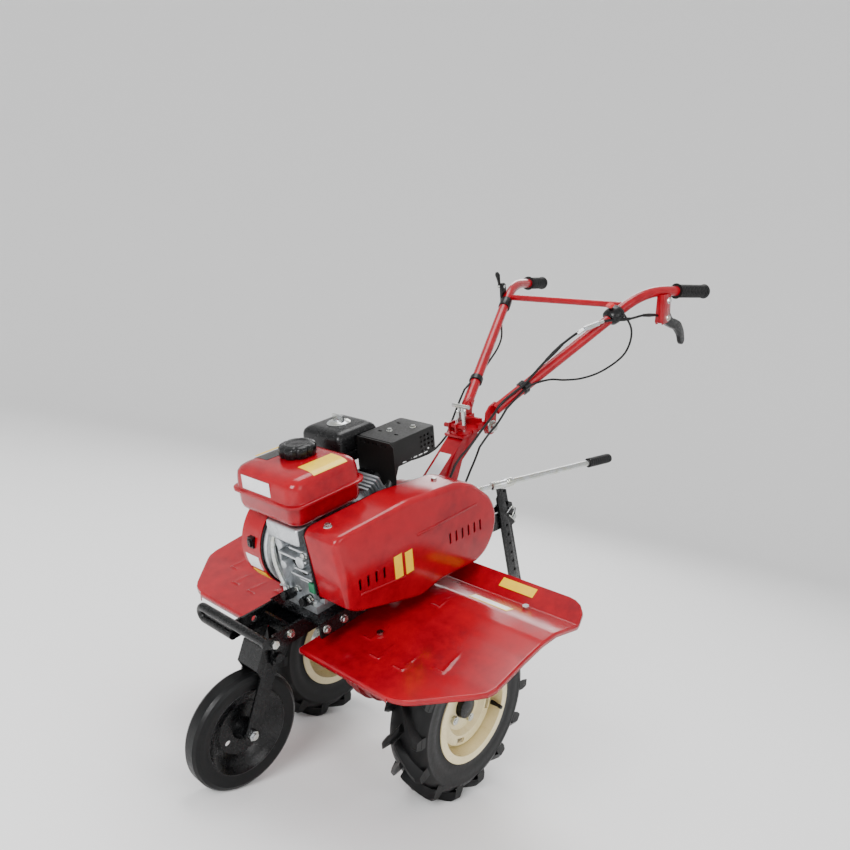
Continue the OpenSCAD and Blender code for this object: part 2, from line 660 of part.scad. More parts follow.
// ---- Fenders ----
module fender_profile(t) {
    polygon([[-286, 241], [-160, 241], [-60, 251], [0, 254], [50, 249], [128, 223], [180, 247],
        [180, 247 + t], [128, 223 + t], [50, 249 + t], [0, 254 + t], [-60, 251 + t],
        [-160, 241 + t], [-286, 241 + t]]);
}
module fender_plan() {
    polygon([[60, -286], [310, -286], [334, -280], [356, -264], [436, -184], [450, -166], [fender_x, -148],
        [fender_x, 138], [448, 160], [430, 174], [410, 180], [60, 180]]);
}
module fender() {
    difference() {
        intersection() {
            translate([0, 0, 200]) linear_extrude(80) fender_plan();
            plate_x(50, fender_x + 10) fender_profile(fender_t);
        }
        for (p = [[162, -155], [341, 110]]) translate([p[0], p[1], 200]) cylinder(r = 4.3, h = 80);
        both_notch();
    }
    translate([60, -285, 228]) cube([255, 2.5, 14]);
    for (y = [-120, 60]) translate([rail_w / 2 + 0.2, y, 236]) fender_stay();
}
module both_notch() { translate([55, -60, 215]) cube([46, 190, 60]); }
module fender_stay() {
    translate([0, 0, 28]) cube([4, 24, 34]);
    translate([0, 0, 10]) cube([120, 24, 3]);
    translate([0, 0, 10]) cube([4, 24, 30]);
}
module fender_left() { color("#b3101f") stand() fender(); }
module fender_right() { color("#b3101f") stand() mirror([1, 0, 0]) fender(); }
module frame_bolts() { color("#cfd2d5") stand() {
    both_sides() for (p = [[162, -155, 245], [341, 110, 234.8]]) translate(p) cylinder(r = 8, h = 5, $fn = 6);
    for (y = foot_y, x = foot_x) translate([x, y, 322.1]) cylinder(r = 7, h = 7, $fn = 6);
    both_sides() for (y = [-44, 40]) hex_x([y, 281], 9, rail_w / 2 + 0.1, rail_w / 2 + 7);
    hex_x([-345, 287], 9, rail_w / 2 + 6.1, rail_w / 2 + 13);
    for (y = [-250, -204, -150]) hex_x([y, 288], 8, 110.1, 116);
} }

// ---- Column, head, handlebar ----
module handlebar_column() { color("#b3101f") stand() difference() {
    union() {
        plate_x(-column_half, column_half) difference() {
            polygon([[130, 400], [142, 383], [292, 488], [312, column_top - 6], [366, column_top - 6],
                [366, 486], [300, 446], [276, 401], [236, 352], [176, 316]]);
            case_outline(6.3);
        }
        translate([-30, 300, column_top - 6]) cube([60, 68, 6]);
        translate([20, 226, 353]) cube([14, 90, 16]);
        rod(rod_at(20), rod_at(50), 11);
    }
    rod(rod_at(-40), rod_at(90), 6 + run);
    plate_x(-column_half + 3, column_half - 3) polygon([[200, 405], [294, 480], [318, column_top - 9],
        [360, column_top - 9], [360, 489], [296, 450], [272, 404], [234, 358], [210, 345]]);
    translate([0, swing_y, 460]) cylinder(r = 8 + run, h = 60);
} }
module column_head() { color("#a00f1d") stand() difference() {
    union() {
        translate([0, swing_y, column_top + 0.3]) cylinder(r = 33, h = 8);
        translate([-36, swing_y, column_top + 0.3]) cube([72, 60, 8]);
        both_sides() plate_x(30, 36) polygon([[355, column_top + 0.3], [355, 526], [424, 526], [424, 492],
            [388, 490], [382, column_top + 0.3]]);
        translate([-30.5, 372, 516]) cube([61, 8, 18]);
        translate([-13, 296, 516]) cube([4, 26, 24]);
        translate([9, 296, 516]) cube([4, 26, 24]);
        rod_x([306, 530], 6, -30, 30);
    }
    translate([0, swing_y, column_top - 5]) cylinder(r = 8 + run, h = 40);
    rod_x(tilt_pin, 8 + run, -60, 60);
} }
module swing_clamp() { color("#c6cacd") stand() translate([0, swing_y, 0]) {
    translate([0, 0, 486]) cylinder(r = 8, h = 44);
    translate([0, 0, column_top + 8.6]) cylinder(r = 12, h = 46);
    translate([-26, 0, 574]) rotate([0, 90, 0]) cylinder(r = 5, h = 52);
    translate([0, 0, 560]) cylinder(r = 7, h = 12);
    translate([0, 0, 482]) cylinder(r = 13, h = 8, $fn = 6);
} }
module bar_lug() {
    plate_x(37, 43) {
        link2d(tilt_pin, 22, [398, 540], 18);
        link2d([398, 540], 18, [424, 553], 14);
    }
}
module handlebar_tubes() { color("#c8142a") stand() {
    both_sides() {
        rod_chain([bar_start, bar_bend, bar_level, bar_end], bar_r);
        bar_lug();
    }
    translate([236, 925, 717]) cube([22, 34, 50]);
    for (x = [236, 253]) plate_x(x, x + 5) link2d([948, 700], 11, [942, 726], 16);
    rod_x([948, 700], 4 - run, 230, 262);
    plate_x(-215, -204) link2d([812, 756], 13, [812, 788], 9);
    rod_x([812, 788], 4 - run, -228, -204);
    rod([-bar_half + 4, 822, 754], [bar_half - 4, 822, 754], 9);
    rod_x(tilt_pin, 8, -56, 56);
    both_sides() hex_x(tilt_pin, 13, 43, 54);
} }
grip_dir = unit(bar_end - bar_level);
module handle_grips() { color("#121314") stand() both_sides() difference() {
    rod(bar_end - 128 * grip_dir, bar_end + 6 * grip_dir, 19);
    rod(bar_end - 130 * grip_dir, bar_end, bar_r);
} }
module on_bar(d) {
    translate(bar_start + d * bar_dir)
        rotate([0, acos(bar_dir[2]), atan2(bar_dir[1], bar_dir[0])]) children();
}
module switch_box() { color("#161718") stand() on_bar(switch_d) difference() {
    translate([-32, -20, -20]) cube([52, 40, 40]);
    translate([0, 0, -30]) cylinder(r = bar_r, h = 60);
    translate([-34, -9.5, -8]) cube([8, 19, 16]);
} }
module stop_rocker() { color("#c8142a") stand()
    on_bar(switch_d) translate([-36, -9, -7]) cube([7.5, 18, 14]);
}
module clutch_lever() { color("#141516") stand() difference() {
    union() {
        plate_x(242, 252) link2d([948, 700], 12, [962, 690], 12);
        plate_x(242, 252) link2d([962, 690], 12, [1010, 672], 8);
        plate_x(242, 252) link2d([1010, 672], 8, [1050, 612], 7);
    }
    rod_x([948, 700], 4, 230, 260);
} }
module throttle_lever() { color("#182320") stand() difference() {
    union() {
        plate_x(-224, -218) link2d([812, 788], 8, [800, 835], 11);
        rod_x([812, 788], 10, -224, -215.5);
    }
    rod_x([812, 788], 4, -230, -210);
} }

// ---- Rear: gear lever, hitch and depth stake ----
rod_start = [34, 268, 366];
rod_tip = [176, 772, 322];
rod_len = norm(rod_tip - rod_start);
function rod_at(d) = rod_start + d * unit(rod_tip - rod_start);
module gear_lever() { color("#b9bdc0") stand() {
    rod(rod_start, rod_at(rod_len - 70), 6);
    rod(rod_at(100), rod_at(165), 9);
    rod(rod_at(rod_len - 74), rod_tip, 13);
} }
module stake_frame() { translate(stake_root) rotate([stake_lean, 0, 0]) children(); }
module hitch_socket() { color("#131415") stand() difference() {
    union() {
        stake_frame() translate([-17, -17, -34]) cube([34, 34, 68]);
        both_sides() plate_x(16.5, 23.5)
            polygon([[168, 222], [510, 184], [520, 226], [330, 262], [172, 300]]);
        rod_x([300, 232], 14, -18, 18);
        translate([-20, 172, 236]) cube([40, 6, 44]);
    }
    stake_frame() translate([-stake_w / 2 - clear, -stake_w / 2 - clear, -60])
        cube([stake_w + 2 * clear, stake_w + 2 * clear, 120]);
    rod_x([300, 232], 8, -30, 30);
    rod_x(stake_hole, 4 + run, -30, 30);
} }
module depth_stake() { color("#101112") stand() stake_frame() difference() {
    translate([-stake_w / 2, -stake_w / 2, -250]) cube([stake_w, stake_w, 340]);
    for (z = [-200 : 40 : 80]) translate([-20, 0, z]) rotate([0, 90, 0]) cylinder(r = 4.1, h = 40);
    translate([-20, -stake_w / 2 - 1, 92]) rotate([-30, 0, 0]) cube([40, 40, 20]);
} }
module stake_pin() { color("#c6cacd") stand() stake_frame() {
    translate([-26, 0, 0]) rotate([0, 90, 0]) cylinder(r = 4, h = 58);
    translate([30, 0, 0]) rotate([0, 90, 0]) cylinder(r = 7, h = 3);
} }

// ---- Control cables ----
lower_route = [[-29, 300, 476], [-31, 240, 470], [-40, 180, 474], [-62, 120, 488], [-70, 30, 492]];
upper_route = [[66, 440, 590], [80, 496, 622], [112, 580, 668], [140, 650, 702], [152, 690, 722]];
module lower_cables() { color("#101010") stand() cord(lower_route, 3, 5); }
module upper_cables() { color("#101010") stand() cord(upper_route, 3, 5); }

base_frame();
front_bumper();
gear_case_left();
gear_case_right();
frame_bolts();
shaft_bearings();
drive_chain();
crankcase();
crankcase_cover();
cylinder_head();
valve_cover();
blower_housing();
recoil_cover();
fuel_tank();
air_filter_base();
air_filter_cover();
carburettor();
muffler();
muffler_guard();
belt_cover();
belt_backplate();
drive_belt();
fender_left();
fender_right();
handlebar_column();
hitch_socket();
lower_cables();
axle_shaft();
wheel_rims();
tyre_left();
tyre_right();
wheel_hubs();
counter_gear();
input_shaft();
gearbox_pulley();
crankshaft();
flywheel();
engine_pulley();
idler_arm();
idler_roller();
front_fork();
front_axle();
front_rim();
front_tyre();
column_head();
swing_clamp();
handlebar_tubes();
handle_grips();
upper_cables();
switch_box();
clutch_lever();
throttle_lever();
stop_rocker();
engine_switch();
fuel_cap();
filter_nut();
gear_lever();
depth_stake();
stake_pin();
starter_grip();
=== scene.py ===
"""A two-wheel walking cultivator: engine, belt drive, drive tyres, fenders and handlebar.

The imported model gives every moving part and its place. This script dresses those parts in
procedural finishes and builds the pressed, moulded and bent pieces in finer form.
"""
import json
import logging
import math
from collections.abc import Callable, Iterable, Sequence
from dataclasses import dataclass
from enum import Enum

import bmesh
import bpy
from mathutils import Matrix, Vector

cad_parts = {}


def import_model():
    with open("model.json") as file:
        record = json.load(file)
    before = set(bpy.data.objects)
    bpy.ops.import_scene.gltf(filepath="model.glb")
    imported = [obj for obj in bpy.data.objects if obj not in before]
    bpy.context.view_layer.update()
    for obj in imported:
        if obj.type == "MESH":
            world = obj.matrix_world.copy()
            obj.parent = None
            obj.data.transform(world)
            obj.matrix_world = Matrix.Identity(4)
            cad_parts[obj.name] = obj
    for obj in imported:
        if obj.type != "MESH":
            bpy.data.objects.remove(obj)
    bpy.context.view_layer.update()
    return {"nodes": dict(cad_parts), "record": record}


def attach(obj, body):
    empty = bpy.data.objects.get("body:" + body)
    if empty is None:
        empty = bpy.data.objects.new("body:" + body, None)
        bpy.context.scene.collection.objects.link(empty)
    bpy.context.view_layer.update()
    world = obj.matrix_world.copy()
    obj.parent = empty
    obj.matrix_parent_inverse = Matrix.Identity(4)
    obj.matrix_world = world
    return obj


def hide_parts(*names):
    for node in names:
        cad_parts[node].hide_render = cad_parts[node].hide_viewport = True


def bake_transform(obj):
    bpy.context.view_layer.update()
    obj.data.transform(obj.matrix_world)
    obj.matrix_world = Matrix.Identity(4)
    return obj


LOG = logging.getLogger("cultivator")
MM = 0.001
Point = tuple[float, float, float]
Pair = tuple[float, float]
# The left bar's bent centre line: its foot, upper bend, level stretch and end
BAR_CORNERS: tuple[Point, ...] = ((47, 416, 549), (208, 845, 768), (232, 925, 778), (281, 1130, 745))


@dataclass(frozen=True)
class Stance:
    """How the chassis stands over the ground, in millimetres."""

    axle_h: float = 205.0
    nose_y: float = 410.0
    nose_z: float = 98.0
    nose_r: float = 123.0
    mid_y: float = 95.81

    def lean(self) -> float:
        """Returns: the nose-down angle of the chassis, in radians."""
        arm = math.hypot(self.nose_y, self.nose_z)
        drop = (self.axle_h - self.nose_r) / arm
        return math.asin(drop) + math.atan2(self.nose_z, self.nose_y)

    def ground(self) -> Matrix:
        """Returns: millimetres over the drive axle to metres over the ground."""
        lift = Matrix.Translation((0, -self.mid_y * MM, self.axle_h * MM))
        return lift @ Matrix.Scale(MM, 4)

    def chassis(self) -> Matrix:
        """Returns: chassis millimetres to metres over the ground."""
        return self.ground() @ Matrix.Rotation(self.lean(), 4, "X")


STANCE = Stance()
CHASSIS = STANCE.chassis()
GROUND = STANCE.ground()


# ---------------------------------------------------------------- finishes


def linear(code: str) -> tuple[float, float, float, float]:
    """Turns an sRGB hex colour to linear.

    Args:
        code: six hex digits.

    Returns:
        Red, green, blue and alpha.
    """
    parts = [int(code[i : i + 2], 16) / 255 for i in (0, 2, 4)]
    flat = [c / 12.92 if c <= 0.04045 else ((c + 0.055) / 1.055) ** 2.4 for c in parts]
    return (flat[0], flat[1], flat[2], 1.0)


def add_node(tree, kind: str, links: dict | None = None, values: dict | None = None, **settings):
    """Adds a node with its settings and links.

    Args:
        tree: the node tree.
        kind: the node's type name.
        links: input name or index to the socket that feeds it.
        values: input name or index to its value.
        settings: attributes of the node.

    Returns:
        The node.
    """
    node = tree.nodes.new(kind)
    for key, value in settings.items():
        setattr(node, key, value)
    for key, value in (values or {}).items():
        node.inputs[key].default_value = value
    for key, socket in (links or {}).items():
        tree.links.new(socket, node.inputs[key])
    return node


class Grain(Enum):
    """The fine surface that a finish leaves, as detail and roughness of its noise."""

    SPRAYED = (2.0, 0.4)
    POWDER = (4.0, 0.6)
    CAST = (8.0, 0.7)
    MOULDED = (5.0, 0.55)
    BRUSHED = (3.0, 0.5)


@dataclass(frozen=True)
class Finish:
    """One surface: two colours mixed in patches over a fine grain."""

    name: str
    slot: str
    colour: str
    shade: str
    grain: Grain
    metallic: float = 0.0
    roughness: float = 0.4
    spread: float = 0.08
    patch_mm: float = 60.0
    grain_mm: float = 1.5
    depth_mm: float = 0.02
    coat: float = 0.0
    gloss: float = 0.5
    stretch: Point = (1.0, 1.0, 1.0)

    def make(self) -> bpy.types.Material:
        """Returns: the material, made once and then found by name."""
        found = bpy.data.materials.get(self.name)
        if found:
            return found
        material = bpy.data.materials.new(self.name)
        material.use_nodes = True
        tree = material.node_tree
        shader = tree.nodes["Principled BSDF"]
        place = add_node(tree, "ShaderNodeTexCoord").outputs["Object"]
        drawn = add_node(tree, "ShaderNodeMapping", {"Vector": place}, {"Scale": self.stretch}).outputs[0]
        patches = self._noise(tree, drawn, self.patch_mm, 3.0, 0.55)
        spots = self._noise(tree, drawn, self.patch_mm / 6, 5.0, 0.65)
        blend = add_node(tree, "ShaderNodeMath", {0: patches, 1: spots}, operation="MULTIPLY").outputs[0]
        span = add_node(
            tree, "ShaderNodeMapRange", {"Value": blend}, {"From Min": 0.12, "From Max": 0.42}
        ).outputs[0]
        mixed = add_node(
            tree,
            "ShaderNodeMix",
            {0: span},
            {6: linear(self.colour), 7: linear(self.shade)},
            data_type="RGBA",
        ).outputs[2]
        rough = add_node(
            tree,
            "ShaderNodeMapRange",
            {"Value": spots},
            {
                "From Min": 0.3,
                "From Max": 0.7,
                "To Min": max(0.04, self.roughness - self.spread),
                "To Max": self.roughness + self.spread,
            },
        ).outputs[0]
        detail, fall = self.grain.value
        fine = self._noise(tree, drawn, self.grain_mm, detail, fall)
        bump = add_node(
            tree,
            "ShaderNodeBump",
            {"Height": fine},
            {"Strength": 0.6, "Distance": self.depth_mm * MM},
        ).outputs[0]
        tree.links.new(self.colour_out(tree, place, mixed), shader.inputs["Base Color"])
        tree.links.new(rough, shader.inputs["Roughness"])
        tree.links.new(bump, shader.inputs["Normal"])
        shader.inputs["Metallic"].default_value = self.metallic
        shader.inputs["Specular IOR Level"].default_value = self.gloss
        shader.inputs["Coat Weight"].default_value = self.coat
        shader.inputs["Coat Roughness"].default_value = 0.06
        return material

    def colour_out(self, tree, place, mixed):
        """Returns: the socket that colours the shader, which dusty finishes change."""
        return mixed

    @staticmethod
    def _noise(tree, place, size_mm: float, detail: float, fall: float):
        """Returns: the height of a noise whose features are size_mm across."""
        values = {"Scale": 1 / (size_mm * MM), "Detail": detail, "Roughness": fall}
        return add_node(tree, "ShaderNodeTexNoise", {"Vector": place}, values).outputs[0]


@dataclass(frozen=True)
class DustyFinish(Finish):
    """A finish that holds pale dust in soft patches, as new rubber does."""

    dust: str = "6f6b62"
    dust_mm: float = 22.0
    dust_most: float = 0.35

    def colour_out(self, tree, place, mixed):
        """Returns: the colour with dust laid over it."""
        cloud = self._noise(tree, place, self.dust_mm, 6.0, 0.7)
        cover = add_node(
            tree,
            "ShaderNodeMapRange",
            {"Value": cloud},
            {"From Min": 0.48, "From Max": 0.75, "To Min": 0.0, "To Max": self.dust_most},
        ).outputs[0]
        return add_node(
            tree, "ShaderNodeMix", {0: cover, 6: mixed}, {7: linear(self.dust)}, data_type="RGBA"
        ).outputs[2]


# Enamel sprayed on sheet steel: a wet gloss with a faint orange peel
RED_ENAMEL = Finish("red_enamel", "red_paint", "9c0014", "760010", Grain.SPRAYED, 0.0, 0.19, 0.05,
                    180.0, 2.2, 0.012, 0.0, 0.34)
# Red enamel over cast iron: the sand cast shows through
RED_CAST = Finish("red_cast_enamel", "red_paint", "8a0414", "66020d", Grain.CAST, 0.0, 0.34, 0.08,
                  70.0, 2.6, 0.12, 0.0, 0.34)
# Powder coat baked on steel: satin with a fine pebble
BLACK_POWDER = Finish("black_powder_coat", "black_paint", "050506", "0a0b0c", Grain.POWDER, 0.0, 0.28,
                      0.08, 60.0, 1.2, 0.03, 0.0, 0.3)
# Cream enamel on pressed wheel rims
CREAM_ENAMEL = Finish("cream_enamel", "cream_paint", "eadcae", "d8c892", Grain.SPRAYED, 0.0, 0.3, 0.07,
                      70.0, 2.2, 0.015, 0.35)
# Die-cast aluminium: grey, open grained and half matt
DIE_CAST = Finish("die_cast_aluminium", "cast_metal", "d4d7da", "a9adb0", Grain.CAST, 0.9, 0.36, 0.1,
                  35.0, 1.6, 0.06)
# Zinc plate on bolts and rods: bright with bluish and yellowish patches
ZINC_PLATE = Finish("zinc_plate", "zinc", "c9cdd3", "a9a894", Grain.BRUSHED, 1.0, 0.24, 0.08, 16.0,
                    0.8, 0.01)
# Turned steel shafts and gears under an oil film
TURNED_STEEL = Finish("turned_steel", "steel", "8f9297", "6c6f73", Grain.BRUSHED, 1.0, 0.34, 0.08,
                      24.0, 0.7, 0.01, 0.0, 0.5, (1.0, 8.0, 8.0))
# Raw cast iron of pulleys and flywheel
GREY_IRON = Finish("grey_iron", "iron", "5a5c5f", "47484a", Grain.CAST, 0.9, 0.52, 0.08, 20.0, 1.5, 0.06)
# Vulcanised tyre rubber: matt, with mould bloom in grey patches
TYRE_RUBBER = DustyFinish("tyre_rubber", "tyre", "040405", "08090a", Grain.MOULDED, 0.0, 0.4, 0.1,
                          45.0, 1.4, 0.05, 0.0, 0.22, (1.0, 1.0, 1.0), "2c2a27", 22.0, 0.12)
# Soft moulded rubber of grips and cable sleeves
SOFT_RUBBER = Finish("soft_rubber", "black_rubber", "060607", "0b0b0c", Grain.MOULDED, 0.0, 0.45, 0.08,
                     25.0, 0.9, 0.03, 0.0, 0.28)
# Injection-moulded black plastic with a spark-eroded texture
BLACK_ABS = Finish("black_moulded_plastic", "black_plastic", "050506", "0a0b0c", Grain.MOULDED, 0.0,
                   0.3, 0.08, 40.0, 0.8, 0.02, 0.0, 0.3)
# Glossy red plastic of the stop rocker, which stands out on the black box
RED_ABS = Finish("red_moulded_plastic", "red_plastic", "c80814", "a8040e", Grain.MOULDED, 0.0, 0.3,
                 0.05, 20.0, 0.8, 0.01)
# Blank yellow sticker film: smooth, and a clear accent on the red
YELLOW_FILM = Finish("yellow_film", "", "e9c21c", "dbb315", Grain.SPRAYED, 0.0, 0.3, 0.05,
                     20.0, 1.0, 0.004)
# Blank white sticker film, a little bluer than the cream of the rims
WHITE_FILM = Finish("white_film", "", "e6e8ea", "d6d9dc", Grain.SPRAYED, 0.0, 0.28, 0.05,
                    20.0, 1.0, 0.004)
# Heat-proof paint of the exhaust: dry and a little brown
STOVE_BLACK = Finish("stove_black", "black_paint", "070707", "0f0e0d", Grain.POWDER, 0.0, 0.45, 0.1,
                     30.0, 1.0, 0.04, 0.0, 0.3)
# Blank black sticker film, flatter than the enamel below it
BLACK_FILM = Finish("black_film", "", "0b0c0d", "121315", Grain.SPRAYED, 0.0, 0.3, 0.05, 20.0, 1.0, 0.004)
# Yellow wire sheath, a thin bright line beside the blower
YELLOW_WIRE = Finish("yellow_wire", "", "d9b419", "c49e10", Grain.MOULDED, 0.0, 0.4)
# Green moulded plug at the end of the loom
GREEN_PLUG = Finish("green_plug", "black_plastic", "1f6b4a", "18543a", Grain.MOULDED, 0.0, 0.4)

# Nodes whose finish differs from the one of their slot
NODE_FINISH: dict[str, Finish] = {
    "gear_case_left": RED_CAST,
    "gear_case_right": RED_CAST,
    "muffler": STOVE_BLACK,
    "muffler_guard": STOVE_BLACK,
}
SLOT_FINISH: dict[str, Finish] = {
    "red_paint": RED_ENAMEL,
    "black_paint": BLACK_POWDER,
    "cream_paint": CREAM_ENAMEL,
    "cast_metal": DIE_CAST,
    "zinc": ZINC_PLATE,
    "steel": TURNED_STEEL,
    "iron": GREY_IRON,
    "tyre": TYRE_RUBBER,
    "black_rubber": SOFT_RUBBER,
    "black_plastic": BLACK_ABS,
    "red_plastic": RED_ABS,
}


# ---------------------------------------------------------------- shaping


def close_ring(count: int, step: Callable[[int, int], None]) -> None:
    """Calls step with each index and the next one round a ring."""
    for i in range(count):
        step(i, (i + 1) % count)


def loft(bm: bmesh.types.BMesh, loops: Sequence[Sequence[Vector]], cap: bool = True) -> None:
    """Joins closed loops of equal length into a skin.

    Args:
        bm: the mesh to add to.
        loops: the loops in order.
        cap: whether the first and last loops are closed.
    """
    rows = [[bm.verts.new(p) for p in loop] for loop in loops]
    for low, high in zip(rows, rows[1:]):
        close_ring(len(low), lambda i, j: bm.faces.new((low[i], low[j], high[j], high[i])))
    if cap:
        bm.faces.new(list(reversed(rows[0])))
        bm.faces.new(rows[-1])


def rounded_loop(centre: Pair, size: Pair, radius: float, z: float,
                 steps: int = 6) -> list[Vector]:
    """Returns: a rounded rectangle at height z, as a loop of points."""
    points = []
    for corner, (sx, sy) in enumerate(((1, 1), (-1, 1), (-1, -1), (1, -1))):
        cx = centre[0] + sx * (size[0] / 2 - radius)
        cy = centre[1] + sy * (size[1] / 2 - radius)
        for k in range(steps + 1):
            a = math.radians(90 * corner + 90 * k / steps)
            points.append(Vector((cx + radius * math.cos(a), cy + radius * math.sin(a), z)))
    return points


def fillet(points: Sequence[Point | Vector], radius: float, steps: int = 8) -> list[Vector]:
    """Rounds the corners of a route.

    Args:
        points: the route's corners.
        radius: how far from each corner the round starts.
        steps: points on each round.

    Returns:
        The rounded route.
    """
    corners = [Vector(p) for p in points]
    route = [corners[0]]
    for before, here, after in zip(corners, corners[1:], corners[2:]):
        back = (before - here).normalized() * min(radius, (before - here).length * 0.45)
        ahead = (after - here).normalized() * min(radius, (after - here).length * 0.45)
        for k in range(steps + 1):
            t = k / steps
            route.append(here + back * (1 - t) ** 2 + ahead * t**2)
    route.append(corners[-1])
    return route


def smooth(points: Sequence[Point], steps: int = 6) -> list[Vector]:
    """Returns: a curve through all the points, for a cable or wire."""
    p = [Vector(q) for q in points]
    out = []
    for i in range(len(p) - 1):
        a, b, c, d = p[max(i - 1, 0)], p[i], p[i + 1], p[min(i + 2, len(p) - 1)]
        for k in range(steps):
            t = k / steps
            out.append(0.5 * (2 * b + (c - a) * t + (2 * a - 5 * b + 4 * c - d) * t * t
                              + (3 * b - a - 3 * c + d) * t**3))
    out.append(p[-1])
    return out


def between(points: Sequence[Pair], at: float) -> float:
    """Returns: the value at a place on a bent line of (place, value)."""
    for (p0, v0), (p1, v1) in zip(points, points[1:]):
        if at <= p1:
            return v0 + (v1 - v0) * max(0.0, (at - p0) / (p1 - p0))
    return points[-1][1]


def bar_corner(index: int, side: int = 1) -> Vector:
    """Returns: a corner of the bar's centre line on one side."""
    x, y, z = BAR_CORNERS[index]
    return Vector((side * x, y, z))


def sweep(bm: bmesh.types.BMesh, route: Sequence[Vector], radius: float | Sequence[float],
          sides: int = 24, flat: float = 1.0) -> None:
    """Runs a round or flattened section along a route.

    Args:
        bm: the mesh to add to.
        route: the centre line.
        radius: one radius, or one for each point.
        sides: points round the section.
        flat: height of the section over its width.
    """
    first = (route[1] - route[0]).normalized()
    across = Vector((0, 0, 1)) if abs(first.x) > 0.9 else Vector((1, 0, 0))
    loops = []
    for i, here in enumerate(route):
        ahead = (route[min(i + 1, len(route) - 1)] - route[max(i - 1, 0)]).normalized()
        across = (across - ahead * across.dot(ahead)).normalized()
        up = ahead.cross(across)
        r = radius if isinstance(radius, (int, float)) else radius[i]
        turn = [math.tau * k / sides for k in range(sides)]
        loops.append([here + across * (r * math.cos(a)) + up * (r * flat * math.sin(a)) for a in turn])
    loft(bm, loops)


def lathe_x(bm: bmesh.types.BMesh, profile: Sequence[Pair],
            centre: Point = (0, 0, 0), steps: int = 64) -> None:
    """Turns a closed profile of (x, radius) about an axis along X.

    Args:
        bm: the mesh to add to.
        profile: the section's corners.
        centre: a point on the axis.
        steps: segments round the axis.
    """
    rows = []
    for k in range(steps):
        a = math.tau * k / steps
        rows.append([bm.verts.new((centre[0] + x, centre[1] + r * math.cos(a), centre[2] + r * math.sin(a)))
                     for x, r in profile])
    for k in range(steps):
        here, there = rows[k], rows[(k + 1) % steps]
        close_ring(len(profile), lambda i, j: bm.faces.new((here[i], here[j], there[j], there[i])))


def lathe_z(bm: bmesh.types.BMesh, profile: Sequence[Pair], centre: Point,
            steps: int = 48) -> None:
    """Turns a profile of (radius, height) from axis to axis about a line along Z."""
    loops = []
    for r, z in profile:
        turn = [math.tau * k / steps for k in range(steps)]
        loops.append([Vector((centre[0] + r * math.cos(a), centre[1] + r * math.sin(a), centre[2] + z))
                      for a in turn])
    loft(bm, loops)


def prism_x(bm: bmesh.types.BMesh, outline: Sequence[Pair], x0: float, x1: float) -> None:
    """Extrudes a side outline of (y, z) from x0 to x1."""
    loft(bm, [[Vector((x, y, z)) for y, z in outline] for x in (x0, x1)])


def stadium(centre: Pair, half: float, radius: float, angle: float,
            steps: int = 8) -> list[Pair]:
    """Returns: the outline of a slot with round ends, as (y, z) points."""
    points = []
    for end in (1, -1):
        for k in range(steps + 1):
            a = math.radians(-90 + 180 * k / steps) + (0 if end > 0 else math.pi)
            y, z = end * half + radius * math.cos(a), radius * math.sin(a)
            ca, sa = math.cos(angle), math.sin(angle)
            points.append((centre[0] + y * ca - z * sa, centre[1] + y * sa + z * ca))
    return points


def box(bm: bmesh.types.BMesh, low: Point, high: Point) -> None:
    """Adds a block between two corners."""
    (x0, y0, z0), (x1, y1, z1) = low, high
    loft(bm, [[Vector((x, y, z)) for x, y in ((x0, y0), (x1, y0), (x1, y1), (x0, y1))] for z in (z0, z1)])


def soften(bm: bmesh.types.BMesh, width: float, segments: int = 3, limit: float = 30.0) -> None:
    """Rounds the sharp edges of a mesh.

    Args:
        bm: the mesh.
        width: the bevel's width.
        segments: the bevel's steps.
        limit: the least angle of an edge that is rounded, in degrees.
    """
    bmesh.ops.recalc_face_normals(bm, faces=bm.faces)
    edges = [e for e in bm.edges if len(e.link_faces) == 2
             and e.calc_face_angle(0.0) > math.radians(limit)]
    bmesh.ops.bevel(bm, geom=edges, offset=width, segments=segments, profile=0.5, affect="EDGES",
                    clamp_overlap=True)


# ---------------------------------------------------------------- pieces


class Bench:
    """Turns meshes into finished pieces and keeps count of them."""

    def __init__(self) -> None:
        """Starts with no pieces."""
        self.made: list[bpy.types.Object] = []

    def raw(self, name: str, bm: bmesh.types.BMesh, place: Matrix, sharp: float = 32.0) -> bpy.types.Object:
        """Puts a mesh in the scene, in metres.

        Args:
            name: the object's name.
            bm: the mesh, in millimetres, which is freed.
            place: the matrix to metres over the ground.
            sharp: the angle past which an edge stays sharp, in degrees.

        Returns:
            The object.
        """
        bmesh.ops.recalc_face_normals(bm, faces=bm.faces)
        mesh = bpy.data.meshes.new(name)
        bm.to_mesh(mesh)
        bm.free()
        mesh.transform(place)
        mesh.shade_smooth()
        mesh.set_sharp_from_angle(angle=math.radians(sharp))
        thing = bpy.data.objects.new(name, mesh)
        bpy.context.scene.collection.objects.link(thing)
        return thing

    def settle(self, thing: bpy.types.Object, finish: Finish, body: str, nodes: Sequence[str] = ()) -> None:
        """Gives an object its finish, body and the nodes that it stands for."""
        if not thing.data.materials:
            thing.data.materials.append(finish.make())
        else:
            thing.data.materials[0] = finish.make()
        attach(thing, body)
        if nodes:
            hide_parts(*nodes)
        self.made.append(thing)
        LOG.info("%s rides on %s", thing.name, body)

    def piece(self, name: str, bm: bmesh.types.BMesh, finish: Finish, body: str,
              nodes: Sequence[str] = (), place: Matrix = CHASSIS, sharp: float = 32.0) -> bpy.types.Object:
        """Makes and settles a piece in one go, and returns it."""
        thing = self.raw(name, bm, place, sharp)
        self.settle(thing, finish, body, nodes)
        return thing


